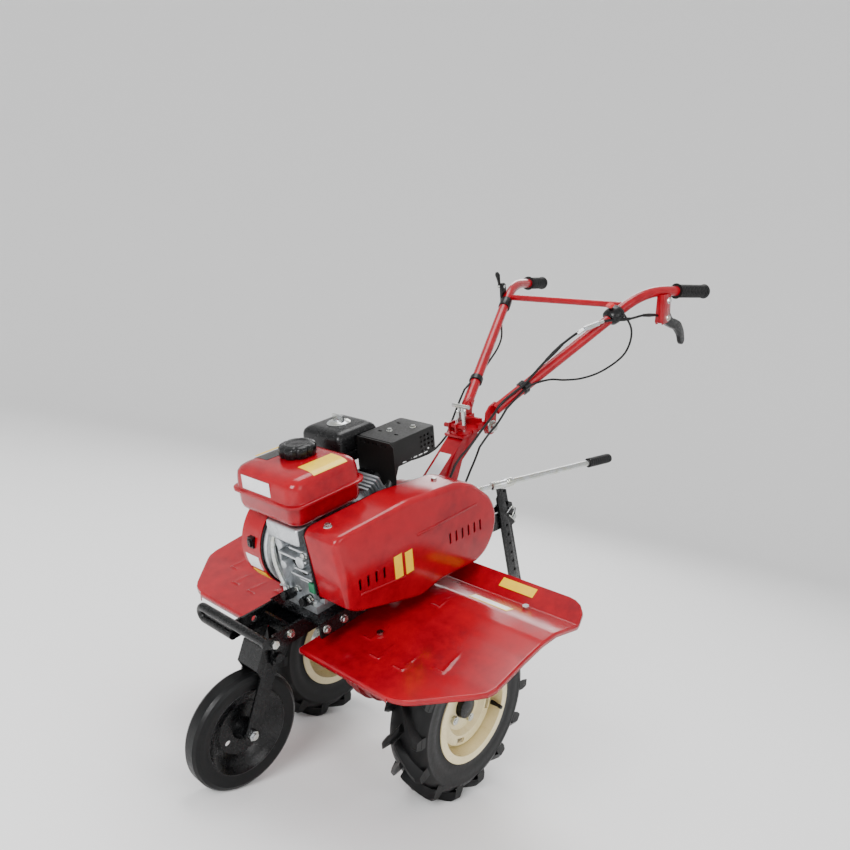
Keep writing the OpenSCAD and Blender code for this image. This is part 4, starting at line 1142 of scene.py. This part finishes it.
@dataclass
class Engine:
    """Covers, wires and fittings of the engine."""

    shop: Shop
    crank: Pair = (-163.0, 415.0)

    def build(self) -> None:
        """Builds the finer engine pieces."""
        self.filter_cover()
        self.covers()
        self.casting()
        self.muffler_guard()
        self.heat_shield()
        self.wiring()
        self.stickers()

    def filter_cover(self) -> None:
        """Builds the air filter's moulded cover, its lip and the dish under its nut."""
        bm = bmesh.new()
        sections = [(560.3, 0, 11), (563, 0, 11), (564, 1.5, 11), (600, 2.5, 12), (608, 5, 13), (613, 10, 13),
                    (616, 17, 12), (617, 26, 9)]
        loft(bm, [rounded_loop((-82, 3), (132 - 2 * i, 126 - 2 * i), r, z, 6) for z, i, r in sections])
        self.shop.bench.piece("filter_cover_shell", bm, BLACK_ABS, "chassis", ["air_filter_cover"], sharp=50)
        bm = bmesh.new()
        lip = [(566, -1.2, 12), (568, 0.2, 12), (573, 0.4, 12), (575, -1.0, 12)]
        loft(bm, [rounded_loop((-82, 3), (131 - 2 * i, 125 - 2 * i), r, z, 6) for z, i, r in lip])
        self.shop.bench.piece("filter_cover_lip", bm, BLACK_ABS, "chassis", sharp=50)
        bm = bmesh.new()
        dish = [(0.5, 617.2), (26, 617.2), (27, 618), (25, 620), (17, 623), (10, 625), (0.5, 625)]
        lathe_z(bm, dish, (-82, 3, 0))
        self.shop.bench.piece("filter_nut_dish", bm, ZINC_PLATE, "filter_nut")

    def covers(self) -> None:
        """Adds the bolts of the blower and crankcase cover, and the blower's gasket and flange."""
        cy, cz = self.crank
        seats = []
        for k in range(4):
            a = math.radians(45 + 90 * k)
            seats.append(((-113, cy + 88 * math.cos(a), cz + 88 * math.sin(a) * 0.86), (-1, 0, 0)))
        self.shop.bolt_group("blower_bolts", seats, 6, 5, "chassis")
        rim = [(-212, 332), (-212, 440), (-190, 484), (-110, 484), (-66, 460), (-64, 400), (-82, 332)]
        self.shop.bolt_group("crankcase_bolts", [((84, y, z), (1, 0, 0)) for y, z in rim], 6, 5, "chassis")
        bm = bmesh.new()
        ring = [(cy + 109.5 * math.cos(a), min(498.0, cz + 109.5 * math.sin(a)))
                for a in [math.tau * k / 72 for k in range(72)]]
        prism_x(bm, ring, -49.5, -45)
        self.shop.bench.piece("blower_gasket", bm, BLACK_POWDER, "chassis")
        bm = bmesh.new()
        ring = [(cy + (y - cy) * 0.965, cz + (z - cz) * 0.965) for y, z in ring]
        prism_x(bm, ring, -45, -34)
        soften(bm, 2.5, 3)
        self.shop.bench.piece("blower_flange", bm, DIE_CAST, "chassis")

    def casting(self) -> None:
        """Adds the ribs, bosses, plugs, shroud and governor arm of the crankcase casting."""
        cy, cz = self.crank
        bm = bmesh.new()
        for x, z in ((30, 338), (22, 352), (26, 366), (10, 380), (34, 402), (-14, 424), (20, 442)):
            reach = math.sqrt(max(0.0, 84.0**2 - (z - cz) ** 2))
            box(bm, (x, cy - reach - 7, z), (76, cy - reach + 14, z + 5))
        box(bm, (-22, cy - 86, 318), (-13, cy - 60, 452))
        for x, z, size in ((-4, 448, 11), (58, 424, 13), (2, 402, 9)):
            sweep(bm, [Vector((x, cy - 70, z)), Vector((x, cy - 93, z))], size, 24)
        soften(bm, 1.3, 2)
        self.shop.bench.piece("crankcase_ribs", bm, DIE_CAST, "chassis")
        spots = [(-10, 340), (30, 352), (66, 340), (66, 440), (-12, 452)]
        seats = [((x, -246, z), (0, -1, 0)) for x, z in spots]
        self.shop.bolt_group("crankcase_front_bolts", seats, 6.5, 6, "chassis")
        bm = bmesh.new()
        for x, z, reach in ((-4, 326, 21), (52, 330, 18)):
            sweep(bm, [Vector((x, -236, z)), Vector((x, -236 - reach, z + 2))], 11, 24)
            sweep(bm, [Vector((x, -237 - reach, z + 2)), Vector((x, -243 - reach, z + 3))], 9, 6)
        self.shop.bench.piece("oil_plugs", bm, BLACK_ABS, "chassis")
        bm = bmesh.new()
        box(bm, (-30, -262, 462), (70, -205, 500))
        soften(bm, 6, 4)
        self.shop.bench.piece("tank_shroud", bm, DIE_CAST, "chassis")
        bm = bmesh.new()
        sweep(bm, smooth([(-26, -240, 470), (-30, -252, 440), (-24, -256, 400), (-8, -254, 356)]), 6.0, 14)
        self.shop.bench.piece("governor_arm", bm, ZINC_PLATE, "chassis")

    def muffler_guard(self) -> None:
        """Builds the pressed guard over the silencer, with its slots cut."""
        bm = bmesh.new()
        loft(bm, [rounded_loop((39, 65), (107 - i, 138 - i), 8, z, 5)
                  for z, i in ((545, 0), (599, 0), (601.5, 1.4), (602.8, 4), (603, 8))])
        shell = self.shop.bench.raw("muffler_guard_shell", bm, CHASSIS, 40)
        cut = bmesh.new()
        loft(cut, [rounded_loop((39, 65), (103, 134), 6.5, z, 5) for z in (540, 600.8)])
        for i in range(4):
            for j in range(4 - i // 3):
                prism_x(cut, stadium((84 + i * 12, 556 + j * 11), 0.4, 3.2, 0.0), 80, 100)
        for i in range(5):
            prism_x(cut, stadium((30 + i * 17, 549), 5.5, 1.8, 0.0), 80, 100)
        for x, y in ((12, 40), (62, 40), (12, 100), (62, 100)):
            loft(cut, [rounded_loop((x, y), (12, 6), 2.9, z, 4) for z in (595, 610)])
        carve(shell, cut, CHASSIS)
        self.shop.bench.settle(shell, STOVE_BLACK, "chassis", ["muffler_guard"])

    def heat_shield(self) -> None:
        """Builds the drilled sheet in front of the silencer, and the screws of both."""
        bm = bmesh.new()
        outline = [(-16, 498), (90, 478), (98, 520), (98, 594), (88, 602), (-12, 602), (-16, 596)]
        loft(bm, [[Vector((x, y, z)) for x, z in outline] for y in (-8, -5.5)])
        shield = self.shop.bench.raw("heat_shield", bm, CHASSIS, 40)
        cut = bmesh.new()
        for i in range(7):
            sweep(cut, [Vector((-2 + i * 13, -14, 593)), Vector((-2 + i * 13, 0, 593))], 3.2, 20)
        carve(shield, cut, CHASSIS)
        self.shop.bench.settle(shield, STOVE_BLACK, "chassis")
        seats = [((30, 52, 603.2), (0, 0, 1)), ((60, 96, 603.2), (0, 0, 1)),
                 ((70, -8.2, 500), (0, -1, 0)), ((40, -8.2, 512), (0, -1, 0))]
        self.shop.bolt_group("guard_bolts", seats, 5.5, 4, "chassis")

    def wiring(self) -> None:
        """Adds the spark plug lead, the switch wires and the loom with its plug."""
        self.shop.wire("spark_plug_lead", [(10, 22, 470), (-10, 34, 462), (-40, 20, 440), (-60, -10, 420),
                                           (-56, -40, 404)], 3.5, SOFT_RUBBER, "chassis")
        self.shop.wire("switch_wire_yellow", [(-72, -272, 430), (-60, -262, 410), (-50, -250, 395),
                                              (-44, -236, 380)], 1.8, YELLOW_WIRE, "chassis")
        self.shop.wire("switch_wire_black", [(-76, -272, 430), (-66, -266, 400), (-54, -258, 380),
                                             (-44, -238, 364)], 1.8, SOFT_RUBBER, "chassis")
        self.shop.wire("engine_loom", [(-20, -228, 420), (20, -236, 400), (50, -236, 384), (66, -232, 372)],
                       3.2, SOFT_RUBBER, "chassis")
        bm = bmesh.new()
        box(bm, (60, -244, 352), (78, -232, 374))
        soften(bm, 2, 2)
        self.shop.bench.piece("loom_plug", bm, GREEN_PLUG, "chassis")

    def stickers(self) -> None:
        """Lays blank stickers on the blower housing."""
        cy, cz = self.crank
        for name, low, high, finish in (("white", -22, -4, WHITE_FILM), ("yellow", -40, -27, YELLOW_FILM)):
            loops = []
            for x in (-101, -58):
                arc = [math.radians(low + (high - low) * k / 8) for k in range(9)]
                outer = [(cy - 111.7 * math.cos(a), cz + 111.7 * math.sin(a)) for a in arc]
                inner = [(cy - 110.8 * math.cos(a), cz + 110.8 * math.sin(a)) for a in reversed(arc)]
                loops.append([Vector((x, y, z)) for y, z in outer + inner])
            bm = bmesh.new()
            loft(bm, loops)
            self.shop.bench.piece(f"blower_sticker_{name}", bm, finish, "chassis")


@dataclass
class Handlebar:
    """The bent tubes, grips, brackets and controls above the head."""

    shop: Shop
    tube: float = 14.0
    half: float = 200.0

    def route(self, side: int) -> list[Vector]:
        """Returns: the tube's bent centre line on one side."""
        return fillet([bar_corner(i, side) for i in range(len(BAR_CORNERS))], 45, 8)

    def build(self) -> None:
        """Builds both sides, the cross tube and what is clamped to them."""
        for side, name in ((1, "left"), (-1, "right")):
            self.side_tube(side, name)
            self.grip(side, name)
        self.cross_tube()
        self.clutch_bracket()
        self.clutch_blade()
        self.tilt_bolt()
        self.throttle()
        self.switch_pod()

    def side_tube(self, side: int, name: str) -> None:
        """Builds one bent tube with its flattened foot plate."""
        bm = bmesh.new()
        sweep(bm, self.route(side), self.tube, 32)
        self.shop.bench.piece(f"handlebar_tube_{name}", bm, RED_ENAMEL, "handlebar",
                              ["handlebar_tubes"] if side > 0 else ())
        bm = bmesh.new()
        plate = [(402 + 22 * math.cos(a), 508 + 22 * math.sin(a)) for a in
                 [math.radians(150 + 12 * k) for k in range(15)]]
        plate += [(426, 536), (438, 556), (424, 568), (400, 562), (384, 548), (380, 528)]
        x0, x1 = (37, 43) if side > 0 else (-43, -37)
        prism_x(bm, plate, x0, x1)
        soften(bm, 1.2, 2)
        self.shop.bench.piece(f"handlebar_foot_{name}", bm, RED_ENAMEL, "handlebar")

    def grip(self, side: int, name: str) -> None:
        """Builds one rubber grip with rings and flared ends."""
        start, end = bar_corner(2, side), bar_corner(3, side)
        ahead = (end - start).normalized()
        length = 134.0
        root = end - ahead * 128
        route, radii = [], []
        steps = 134
        for k in range(steps + 1):
            d = length * k / steps
            route.append(root + ahead * d)
            ring = 1.5 * (0.5 + 0.5 * math.cos(math.tau * d / 6.7)) ** 2
            collar = max(0.0, 1 - (length - 8 - d) / 8) if d < length - 8 else 1.0
            flare = 3.4 * max(0.0, 1 - d / 7) + 2.2 * collar
            close = 1.0 if d < length - 4 else math.sqrt(max(0.02, 1 - ((d - length + 4) / 4) ** 2))
            radii.append(min(22.0, (17.4 + ring + flare)) * close)
        bm = bmesh.new()
        sweep(bm, route, radii, 32)
        self.shop.bench.piece(f"grip_{name}", bm, SOFT_RUBBER, "handlebar",
                              ["handle_grips"] if side > 0 else ())

    def cross_tube(self) -> None:
        """Builds the tube that ties the two bars."""
        bm = bmesh.new()
        sweep(bm, [Vector((x, 822, 754)) for x in (-self.half + 4, 0, self.half - 4)], 9, 24)
        self.shop.bench.piece("cross_tube", bm, RED_ENAMEL, "handlebar")

    def clutch_bracket(self) -> None:
        """Builds the folded bracket that holds the clutch lever."""
        bm = bmesh.new()
        cheek = [(922, 768), (962, 764), (961, 716), (958, 694), (948, 688), (916, 686), (910, 694),
                 (916, 730)]
        for x0 in (236, 254):
            prism_x(bm, cheek, x0, x0 + 4)
        prism_x(bm, [(922, 768), (916, 730), (910, 694), (914, 690), (920, 729), (926, 767)], 238, 256)
        box(bm, (238, 925, 752), (256, 958, 767))
        soften(bm, 1.0, 2)
        self.shop.bench.piece("clutch_bracket", bm, RED_ENAMEL, "handlebar")

    def clutch_blade(self) -> None:
        """Builds the curved clutch lever and its rivets."""
        bm = bmesh.new()
        lever = [(940, 690), (944, 712), (956, 732), (966, 734), (972, 716), (990, 692), (1020, 682),
                 (1050, 668), (1072, 640), (1080, 606), (1066, 596), (1050, 604), (1040, 630), (1016, 652),
                 (985, 664), (958, 676)]
        rounded = fillet([(0, y, z) for y, z in lever + lever[:1]], 9, 3)
        prism_x(bm, [(p.y, p.z) for p in rounded[:-1]], 240.5, 251.5)
        soften(bm, 2.2, 3)
        self.shop.bench.piece("clutch_lever_blade", bm, BLACK_ABS, "clutch_lever", ["clutch_lever"])
        rivets = [((258, 948, 700), (1, 0, 0)), ((258, 950, 748), (1, 0, 0))]
        self.shop.bolt_group("clutch_rivets", rivets, 7, 4, "handlebar")

    def tilt_bolt(self) -> None:
        """Builds the bolt that the handlebar tilts on, with its nuts."""
        bm = bmesh.new()
        sweep(bm, [Vector((x, 402, 508)) for x in (-54, 0, 54)], 8, 24)
        self.shop.bench.piece("tilt_bolt", bm, ZINC_PLATE, "handlebar")
        seats = [((43, 402, 508), (1, 0, 0)), ((-43, 402, 508), (-1, 0, 0))]
        self.shop.bolt_group("tilt_nuts", seats, 13, 10, "handlebar")

    def throttle(self) -> None:
        """Builds the throttle's clamp, paddle and pivot on the right bar."""
        bm = bmesh.new()
        start, end = Vector((-181, 775, 731)), Vector((-192, 804, 747))
        sweep(bm, [start, end], 17.5, 28)
        prism_x(bm, stadium((812, 772), 16, 11, math.radians(90)), -214, -205)
        soften(bm, 1.0, 2, 60)
        self.shop.bench.piece("throttle_clamp", bm, BLACK_ABS, "handlebar")
        bm = bmesh.new()
        spine = [(812, 784), (810, 796), (807, 808), (803, 824), (801, 832)]
        sweep(bm, [Vector((-221, y, z)) for y, z in spine], [6.5, 5, 6, 9, 5], 20, 0.55)
        self.shop.bench.piece("throttle_paddle", bm, BLACK_ABS, "throttle_lever", ["throttle_lever"])
        bm = bmesh.new()
        sweep(bm, [Vector((-203, 812, 788)), Vector((-228, 812, 788))], 5.0, 6)
        self.shop.bench.piece("throttle_pivot", bm, ZINC_PLATE, "handlebar")

    def switch_pod(self) -> None:
        """Builds the round-edged switch housing on the left bar."""
        along = (bar_corner(1) - bar_corner(0)).normalized()
        middle = bar_corner(0) + along * 429 + Vector((-1, -0.5, 1))
        bm = bmesh.new()
        ahead = [(0, 26.5), (8, 26), (17, 24), (21, 20), (22, 14)]
        stations = [(-d, r) for d, r in reversed(ahead[1:])] + ahead
        sweep(bm, [middle + along * d for d, _ in stations], [r for _, r in stations], 36, 0.86)
        self.shop.bench.piece("switch_pod", bm, BLACK_ABS, "handlebar", ["switch_box"], sharp=50)


@dataclass
class Cables:
    """Control cables, in stretches that end where the head's joints are."""

    shop: Shop

    def build(self) -> None:
        """Builds the stretches on the bars, across the joints and on the chassis."""
        wire = self.shop.wire
        run = [(246, 935, 702), (240, 900, 716), (232, 850, 724), (216, 806, 722), (198, 770, 724),
               (181, 724, 728), (159, 660, 718), (133, 599, 689), (115, 549, 655), (99, 506, 622),
               (90, 482, 604), (70, 436, 578), (60, 412, 560)]
        wire("clutch_cable", run, 3.4, SOFT_RUBBER, "handlebar", ["upper_cables"])
        stop = [(198, 800, 738), (224, 796, 700), (226, 786, 660), (207, 776, 621), (180, 718, 593),
                (157, 657, 586), (136, 603, 592), (118, 558, 602), (97, 500, 598), (84, 462, 576),
                (72, 430, 552)]
        wire("stop_wire", stop, 2.8, SOFT_RUBBER, "handlebar")
        far = [(-207, 798, 758), (-200, 786, 734), (-170, 745, 690), (-144, 708, 660), (-125, 664, 640),
               (-112, 615, 622), (-98, 556, 603), (-92, 512, 592), (-76, 470, 590), (-64, 430, 584)]
        wire("throttle_cable", far, 2.8, SOFT_RUBBER, "handlebar")
        wire("throttle_cable_low", [(-38, 240, 470), (-41, 180, 474), (-62, 120, 488), (-70, 30, 492),
                                    (-68, -12, 500)], 2.8, SOFT_RUBBER, "chassis", ["lower_cables"])
        wire("clutch_cable_low", [(32, 262, 446), (31, 231, 407), (31, 205, 382), (34, 190, 366)], 3.1,
             SOFT_RUBBER, "chassis")
        wire("stop_wire_low", [(33, 305, 396), (32, 292, 380), (31, 280, 366)], 2.8, SOFT_RUBBER, "chassis")
        for name, radius, top, low in (
            ("clutch", 3.1, [(60, 412, 560), (58, 388, 542), (53, 352, 518), (49, 322, 496)],
             [(49, 322, 496), (42, 302, 478), (36, 282, 464), (32, 262, 446)]),
            ("stop", 2.8, [(72, 430, 552), (64, 400, 520), (54, 372, 496), (46, 345, 470)],
             [(46, 345, 470), (41, 330, 440), (36, 316, 415), (33, 305, 396)]),
            ("throttle", 2.8, [(-64, 430, 584), (-57, 394, 556), (-50, 352, 516), (-45, 324, 490)],
             [(-45, 324, 490), (-43, 300, 480), (-40, 270, 472), (-38, 240, 470)]),
        ):
            self.bend(f"{name}_cable_tilt_bend", top, radius)
            self.bend(f"{name}_cable_swing_bend", low, radius)
        self.fittings(run)

    def bend(self, name: str, points: Sequence[Point], radius: float) -> None:
        """Builds a fixed stretch from one body to the next, attached to neither.

        Args:
            name: the piece's name.
            points: its route, which starts on the first body.
            radius: the cable's radius.
        """
        bm = bmesh.new()
        sweep(bm, smooth(points), radius, 12)
        thing = self.shop.bench.raw(name, bm, CHASSIS)
        thing.data.materials.append(SOFT_RUBBER.make())
        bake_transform(thing)
        self.shop.bench.made.append(thing)

    def fittings(self, run: Sequence[Point]) -> None:
        """Adds the sleeves, the turnbuckle and the clips that hold the cables to the bars."""
        bm = bmesh.new()
        for a, b, r in ((1, 2, 5.4), (3, 4, 5.0), (7, 8, 5.2)):
            start, end = Vector(run[a]), Vector(run[b])
            sweep(bm, [start, (start + end) / 2, end], [r * 0.8, r, r * 0.8], 14)
        self.shop.bench.piece("cable_sleeves", bm, SOFT_RUBBER, "handlebar")
        bm = bmesh.new()
        low, high = Vector(run[5]), Vector(run[6])
        sweep(bm, [low, low.lerp(high, 0.2), low.lerp(high, 0.25), high], [4.6, 4.6, 7.0, 7.0], 18)
        sweep(bm, [high, high.lerp(Vector(run[7]), 0.3)], 5.2, 6)
        end, ahead = Vector(run[0]), (Vector(run[1]) - Vector(run[0])).normalized()
        sweep(bm, [end, end + ahead * 16], 6.0, 18)
        self.shop.bench.piece("cable_adjuster", bm, ZINC_PLATE, "handlebar")
        for side, name in ((1, "left"), (-1, "right")):
            a, b = bar_corner(0, side), bar_corner(1, side)
            along = (b - a).normalized()
            at = a.lerp(b, 0.19)
            bm = bmesh.new()
            sweep(bm, [at + along * d for d in (-9, -8, 8, 9)], [15.5, 18, 18, 15.5], 28)
            over = Vector((side * 14, -4, 8)) if side > 0 else Vector((-14, 12, 2))
            sweep(bm, [at + over - along * 9, at + over + along * 9], 9.5, 20)
            self.shop.bench.piece(f"cable_clip_{name}", bm, BLACK_ABS, "handlebar")


@dataclass
class Lever:
    """The long gear lever: rod, sleeve, tube and rubber grip."""

    shop: Shop
    root: Point = (34.0, 268.0, 366.0)
    tip: Point = (176.0, 772.0, 322.0)

    def build(self) -> None:
        """Builds the lever in two finishes."""
        a, b = Vector(self.root), Vector(self.tip)
        along = (b - a).normalized()
        length = (b - a).length

        def at(d: float) -> Vector:
            """Returns: the point at a distance from the root."""
            return a + along * d

        bm = bmesh.new()
        sweep(bm, [at(0), at(98), at(100), at(102), at(140), at(142), at(168), at(170), at(length - 70)],
              [6, 6, 6, 10.5, 10.5, 11.5, 11.5, 8, 8], 28)
        self.shop.bench.piece("gear_lever_tube", bm, ZINC_PLATE, "gear_lever", ["gear_lever"])
        seat = (tuple(at(150) + Vector((9, 0, 6))), (0.7, 0, 0.7))
        self.shop.bolt_group("gear_lever_bolts", [seat], 6, 7, "gear_lever")
        bm = bmesh.new()
        route = [at(length - 84 + 86 * k / 43) for k in range(44)]
        radii = [12.6 + 0.9 * math.cos(math.tau * k / 4) for k in range(40)] + [12.2, 11.0, 8.5, 4.0]
        sweep(bm, route, radii, 28)
        self.shop.bench.piece("gear_lever_grip", bm, SOFT_RUBBER, "gear_lever")


@dataclass
class Nose:
    """The front wheel's pressed disc."""

    shop: Shop
    centre: Pair = (-410.0, 98.0)

    def build(self) -> None:
        """Builds the dished disc with its rim, and drills it."""
        y, z = self.centre
        bm = bmesh.new()
        profile = [(-24, 6.3), (-24, 18), (-12, 19), (-4, 24), (-3, 55), (-6, 60), (-9, 64), (-9, 72),
                   (-16, 84), (-20, 88.5), (-19, 92), (19, 92), (20, 88.5), (16, 84), (9, 72), (6, 64),
                   (3, 60), (0, 55), (1, 24), (12, 19), (24, 18), (24, 6.3)]
        lathe_x(bm, profile, (0, y, z), 72)
        disc = self.shop.bench.raw("front_disc", bm, CHASSIS, 35)
        cut = bmesh.new()
        for angle in (200, 20):
            a = math.radians(angle)
            spot = (y + 40 * math.cos(a), z + 40 * math.sin(a))
            prism_x(cut, stadium(spot, 0.4, 6.0, 0.0), -14, 14)
        carve(disc, cut, CHASSIS)
        self.shop.bench.settle(disc, BLACK_POWDER, "front_wheel", ["front_rim"])


@dataclass
class Stake:
    """The flat depth stake with its chisel point and row of holes."""

    shop: Shop

    def build(self) -> None:
        """Builds the drilled bar and its spring clip."""
        bm = bmesh.new()
        outline = [(446, 310), (464, 262), (516, 18), (506, 0), (474, -2), (428, 288)]
        prism_x(bm, outline, 24.2, 32)
        soften(bm, 1.2, 2)
        bar = self.shop.bench.raw("depth_stake_face", bm, CHASSIS, 35)
        cut = bmesh.new()
        for k in range(6):
            prism_x(cut, stadium((464 + 5.5 * k, 196 - 30 * k), 0.3, 4.6, 0.0), 20, 36)
        carve(bar, cut, CHASSIS)
        self.shop.bench.settle(bar, BLACK_POWDER, "chassis")
        self.shop.wire("stake_spring_clip", [(35, 462, 236), (36, 486, 246), (36, 494, 232), (36, 482, 218),
                                             (36, 470, 226), (36, 490, 206), (36, 496, 196)], 1.8, ZINC_PLATE,
                       "stake_pin")


@dataclass
class Dress:
    """Bolts, plates and stickers on the chassis and column."""

    shop: Shop

    def build(self) -> None:
        """Builds the small fittings."""
        spots = [(56.4, -300, 284)] + [(110.2, y, 288) for y in (-250, -204, -150)]
        self.shop.bolt_group("frame_side_bolts", [(spot, (1, 0, 0)) for spot in spots], 7, 6, "chassis")
        slope = math.radians(35)
        along = Vector((0, math.cos(slope), math.sin(slope)))
        self.shop.sticker("column_plate", (18, 178, 408.5), (-36, 0, 0), tuple(along * 108), WHITE_FILM,
                          "chassis", 0.8)


@dataclass
class Studio:
    """Floor, backdrop, lights and camera."""

    lens: float = 31.85
    sensor: float = 36.0

    def build(self) -> None:
        """Builds the whole stage."""
        self.backdrop()
        self.lights()
        self.camera()

    def backdrop(self) -> None:
        """Builds a floor that curves up into a wall all round."""
        bm = bmesh.new()
        profile = [(0.02, 0.0), (3.0, 0.0), (6.0, 0.0), (8.0, 0.0)]
        for k in range(1, 13):
            a = math.pi / 2 * k / 12
            profile.append((8.0 + 3.0 * math.sin(a), 3.0 - 3.0 * math.cos(a)))
        profile.append((11.0, 9.0))
        steps = 96
        rows = [[bm.verts.new((r * math.cos(math.tau * k / steps), r * math.sin(math.tau * k / steps), z))
                 for k in range(steps)] for r, z in profile]
        for low, high in zip(rows, rows[1:]):
            close_ring(steps, lambda i, j: bm.faces.new((low[i], low[j], high[j], high[i])))
        bm.faces.new(list(reversed(rows[0])))
        mesh = bpy.data.meshes.new("backdrop")
        bm.to_mesh(mesh)
        bm.free()
        mesh.shade_smooth()
        cove = bpy.data.objects.new("backdrop", mesh)
        bpy.context.scene.collection.objects.link(cove)
        paper = bpy.data.materials.new("backdrop_paper")
        paper.use_nodes = True
        shader = paper.node_tree.nodes["Principled BSDF"]
        shader.inputs["Base Color"].default_value = linear("f4f4f4")
        shader.inputs["Roughness"].default_value = 0.9
        mesh.materials.append(paper)

    def lights(self) -> None:
        """Adds large soft boxes and a pale surrounding."""
        world = bpy.context.scene.world or bpy.data.worlds.new("surround")
        bpy.context.scene.world = world
        world.use_nodes = True
        back = world.node_tree.nodes["Background"]
        back.inputs["Color"].default_value = (1.0, 1.0, 1.0, 1.0)
        back.inputs["Strength"].default_value = 0.9
        for name, place, size, watts in (
            ("key_box", (1.6, -4.6, 2.6), 2.0, 260.0),
            ("side_box", (4.6, -0.6, 2.4), 2.2, 45.0),
            ("rear_box", (-2.6, 3.8, 3.6), 2.4, 90.0),
            ("top_box", (-1.0, 0.0, 5.6), 2.6, 150.0),
        ):
            lamp = bpy.data.lights.new(name, "AREA")
            lamp.shape = "SQUARE"
            lamp.size = size
            lamp.energy = watts
            thing = bpy.data.objects.new(name, lamp)
            thing.location = place
            thing.rotation_euler = (Vector((0, 0, 0.6)) - Vector(place)).to_track_quat("-Z", "Y").to_euler()
            bpy.context.scene.collection.objects.link(thing)

    def camera(self) -> None:
        """Places the camera, which leans with the levelled chassis."""
        yaw, pitch, roll = math.radians(40.49), math.radians(-0.47), math.radians(12.22)
        ahead = Vector((-math.sin(yaw) * math.cos(pitch), math.cos(yaw) * math.cos(pitch), math.sin(pitch)))
        level = ahead.cross(Vector((0, 0, 1))).normalized()
        over = level.cross(ahead)
        right = level * math.cos(roll) + over * math.sin(roll)
        up = right.cross(ahead)
        turn = Matrix((right, up, -ahead)).transposed().to_4x4()
        data = bpy.data.cameras.new("camera")
        data.lens = self.lens
        data.sensor_width = self.sensor
        data.clip_end = 60.0
        thing = bpy.data.objects.new("camera", data)
        thing.matrix_world = Matrix.Translation((1.169, -1.5198, 0.817)) @ turn
        bpy.context.scene.collection.objects.link(thing)
        bpy.context.scene.camera = thing


def dress_nodes(frame: dict) -> None:
    """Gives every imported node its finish."""
    slots = {row["node"]: row["material_slot"] for row in frame["record"]["subparts"]}
    for name, thing in frame["nodes"].items():
        finish = NODE_FINISH.get(name) or SLOT_FINISH[slots[name]]
        thing.data.materials.clear()
        thing.data.materials.append(finish.make())
        LOG.info("%s wears %s", name, finish.name)


def main() -> None:
    """Builds the whole machine."""
    logging.basicConfig(level=logging.INFO, format="%(message)s")
    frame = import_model()
    Studio().build()
    dress_nodes(frame)
    shop = Shop(Bench(), RingTree(), BoltTree())
    Tyres(shop).build()
    RimDress(shop).build()
    BeltCover(shop).build()
    Fender(shop, 1, "left").build()
    Fender(shop, -1, "right").build()
    Tank(shop).build()
    Engine(shop).build()
    Handlebar(shop).build()
    Cables(shop).build()
    Lever(shop).build()
    Nose(shop).build()
    Stake(shop).build()
    Dress(shop).build()
    LOG.info("%d pieces", len(shop.bench.made))


if __name__ == "__main__":
    main()
